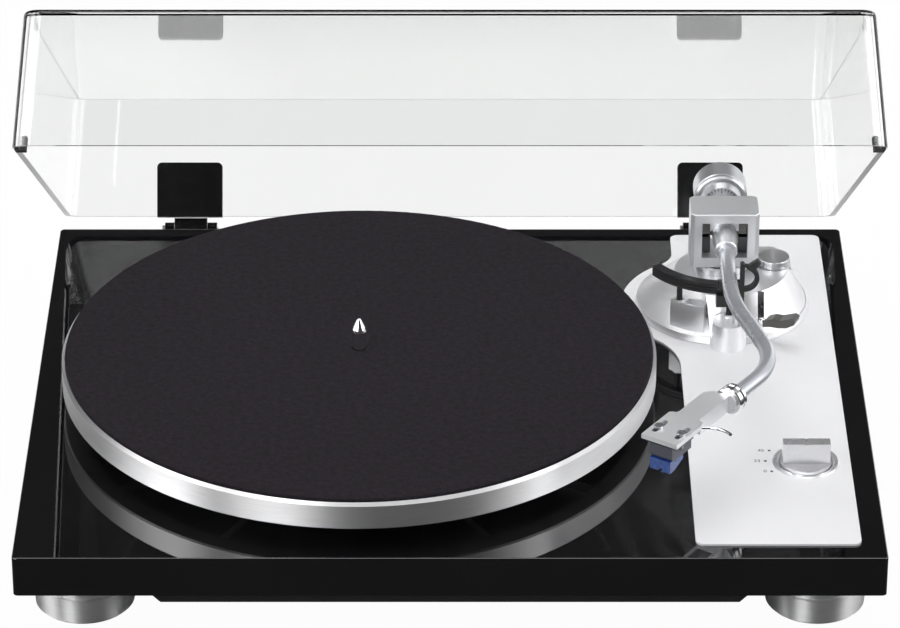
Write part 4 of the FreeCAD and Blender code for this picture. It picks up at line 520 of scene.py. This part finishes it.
def make_world():
    """White for the camera, a plain dome for diffuse light, and studio panels for reflections."""
    world = bpy.data.worlds.new("studio")
    bpy.context.scene.world = world
    world.use_nodes = True
    tree = world.node_tree
    tree.nodes.clear()
    out = node(tree, "ShaderNodeOutputWorld")
    coords = node(tree, "ShaderNodeTexCoord")
    axes = node(tree, "ShaderNodeSeparateXYZ")
    tree.links.new(coords.outputs["Generated"], axes.inputs["Vector"])
    flat = node(tree, "ShaderNodeCombineXYZ")
    tree.links.new(axes.outputs["X"], flat.inputs["X"])
    tree.links.new(axes.outputs["Y"], flat.inputs["Y"])
    level_way = node(tree, "ShaderNodeVectorMath", operation="NORMALIZE")
    tree.links.new(flat.outputs["Vector"], level_way.inputs[0])
    rise = axes.outputs["Z"]
    glare = spread(tree, rise, DRAPE_LEVEL, OVERHEAD_LEVEL, OVERHEAD_EDGE, OVERHEAD_CORE)
    for place_and_level in PANELS:
        glare = total(tree, glare, panel(tree, level_way.outputs["Vector"], rise, *place_and_level))
    light = grey_mix(tree, seen_in_gloss(tree), DOME_LEVEL, glare)
    shown = grey_mix(tree, seen_directly(tree), light, 1.0)
    background = node(tree, "ShaderNodeBackground")
    tree.links.new(shown, background.inputs["Color"])
    tree.links.new(background.outputs["Background"], out.inputs["Surface"])


def make_floor():
    """Plain pale floor that keeps the object's shadow."""
    mesh = bpy.data.meshes.new("floor")
    half = FLOOR_SIZE / 2
    low = cad_low[2]
    corners = [(-half, -half, low), (half, -half, low), (half, half, low), (-half, half, low)]
    mesh.from_pydata(corners, [], [(0, 1, 2, 3)])
    floor = bpy.data.objects.new("floor", mesh)
    bpy.context.scene.collection.objects.link(floor)
    made, tree, shader = material("pale_floor")
    broad = noise(tree, 300.0, 2.0)
    grey = spread(tree, broad, FLOOR_GREY, FLOOR_GREY + FLOOR_GREY_DRIFT)
    axes = node(tree, "ShaderNodeSeparateXYZ")
    tree.links.new(place(tree), axes.inputs["Vector"])
    sweep = spread(tree, axes.outputs["Y"], FLOOR_FRONT, FLOOR_REAR, 0.0, SWEEP_END)
    tree.links.new(grey_mix(tree, seen_in_gloss(tree), grey, sweep), shader.inputs["Base Color"])
    shader.inputs["Roughness"].default_value = 0.9
    shader.inputs["Specular IOR Level"].default_value = 0.0
    glow = node(tree, "ShaderNodeEmission")
    share = grey_mix(tree, seen_directly(tree), 0.0, FLOOR_GLOW)
    mix = node(tree, "ShaderNodeMixShader")
    tree.links.new(share, mix.inputs["Fac"])
    tree.links.new(shader.outputs["BSDF"], mix.inputs[1])
    tree.links.new(glow.outputs["Emission"], mix.inputs[2])
    tree.links.new(mix.outputs["Shader"], tree.nodes["Material Output"].inputs["Surface"])
    mesh.materials.append(made)


def make_camera():
    lens = bpy.data.cameras.new("camera")
    lens.lens = CAMERA_LENS
    lens.sensor_width = SENSOR
    camera = bpy.data.objects.new("camera", lens)
    camera.location = CAMERA_PLACE
    camera.rotation_euler = (math.pi / 2 - CAMERA_PITCH, 0, 0)
    bpy.context.scene.collection.objects.link(camera)
    bpy.context.scene.camera = camera


def make_studio():
    make_world()
    make_floor()
    make_camera()
    for lamp in LAMPS:
        softbox(*lamp)
    bpy.context.scene.view_settings.view_transform = "Standard"


make_studio()
surfaces = make_materials()
dress(surfaces)
make_details(surfaces)
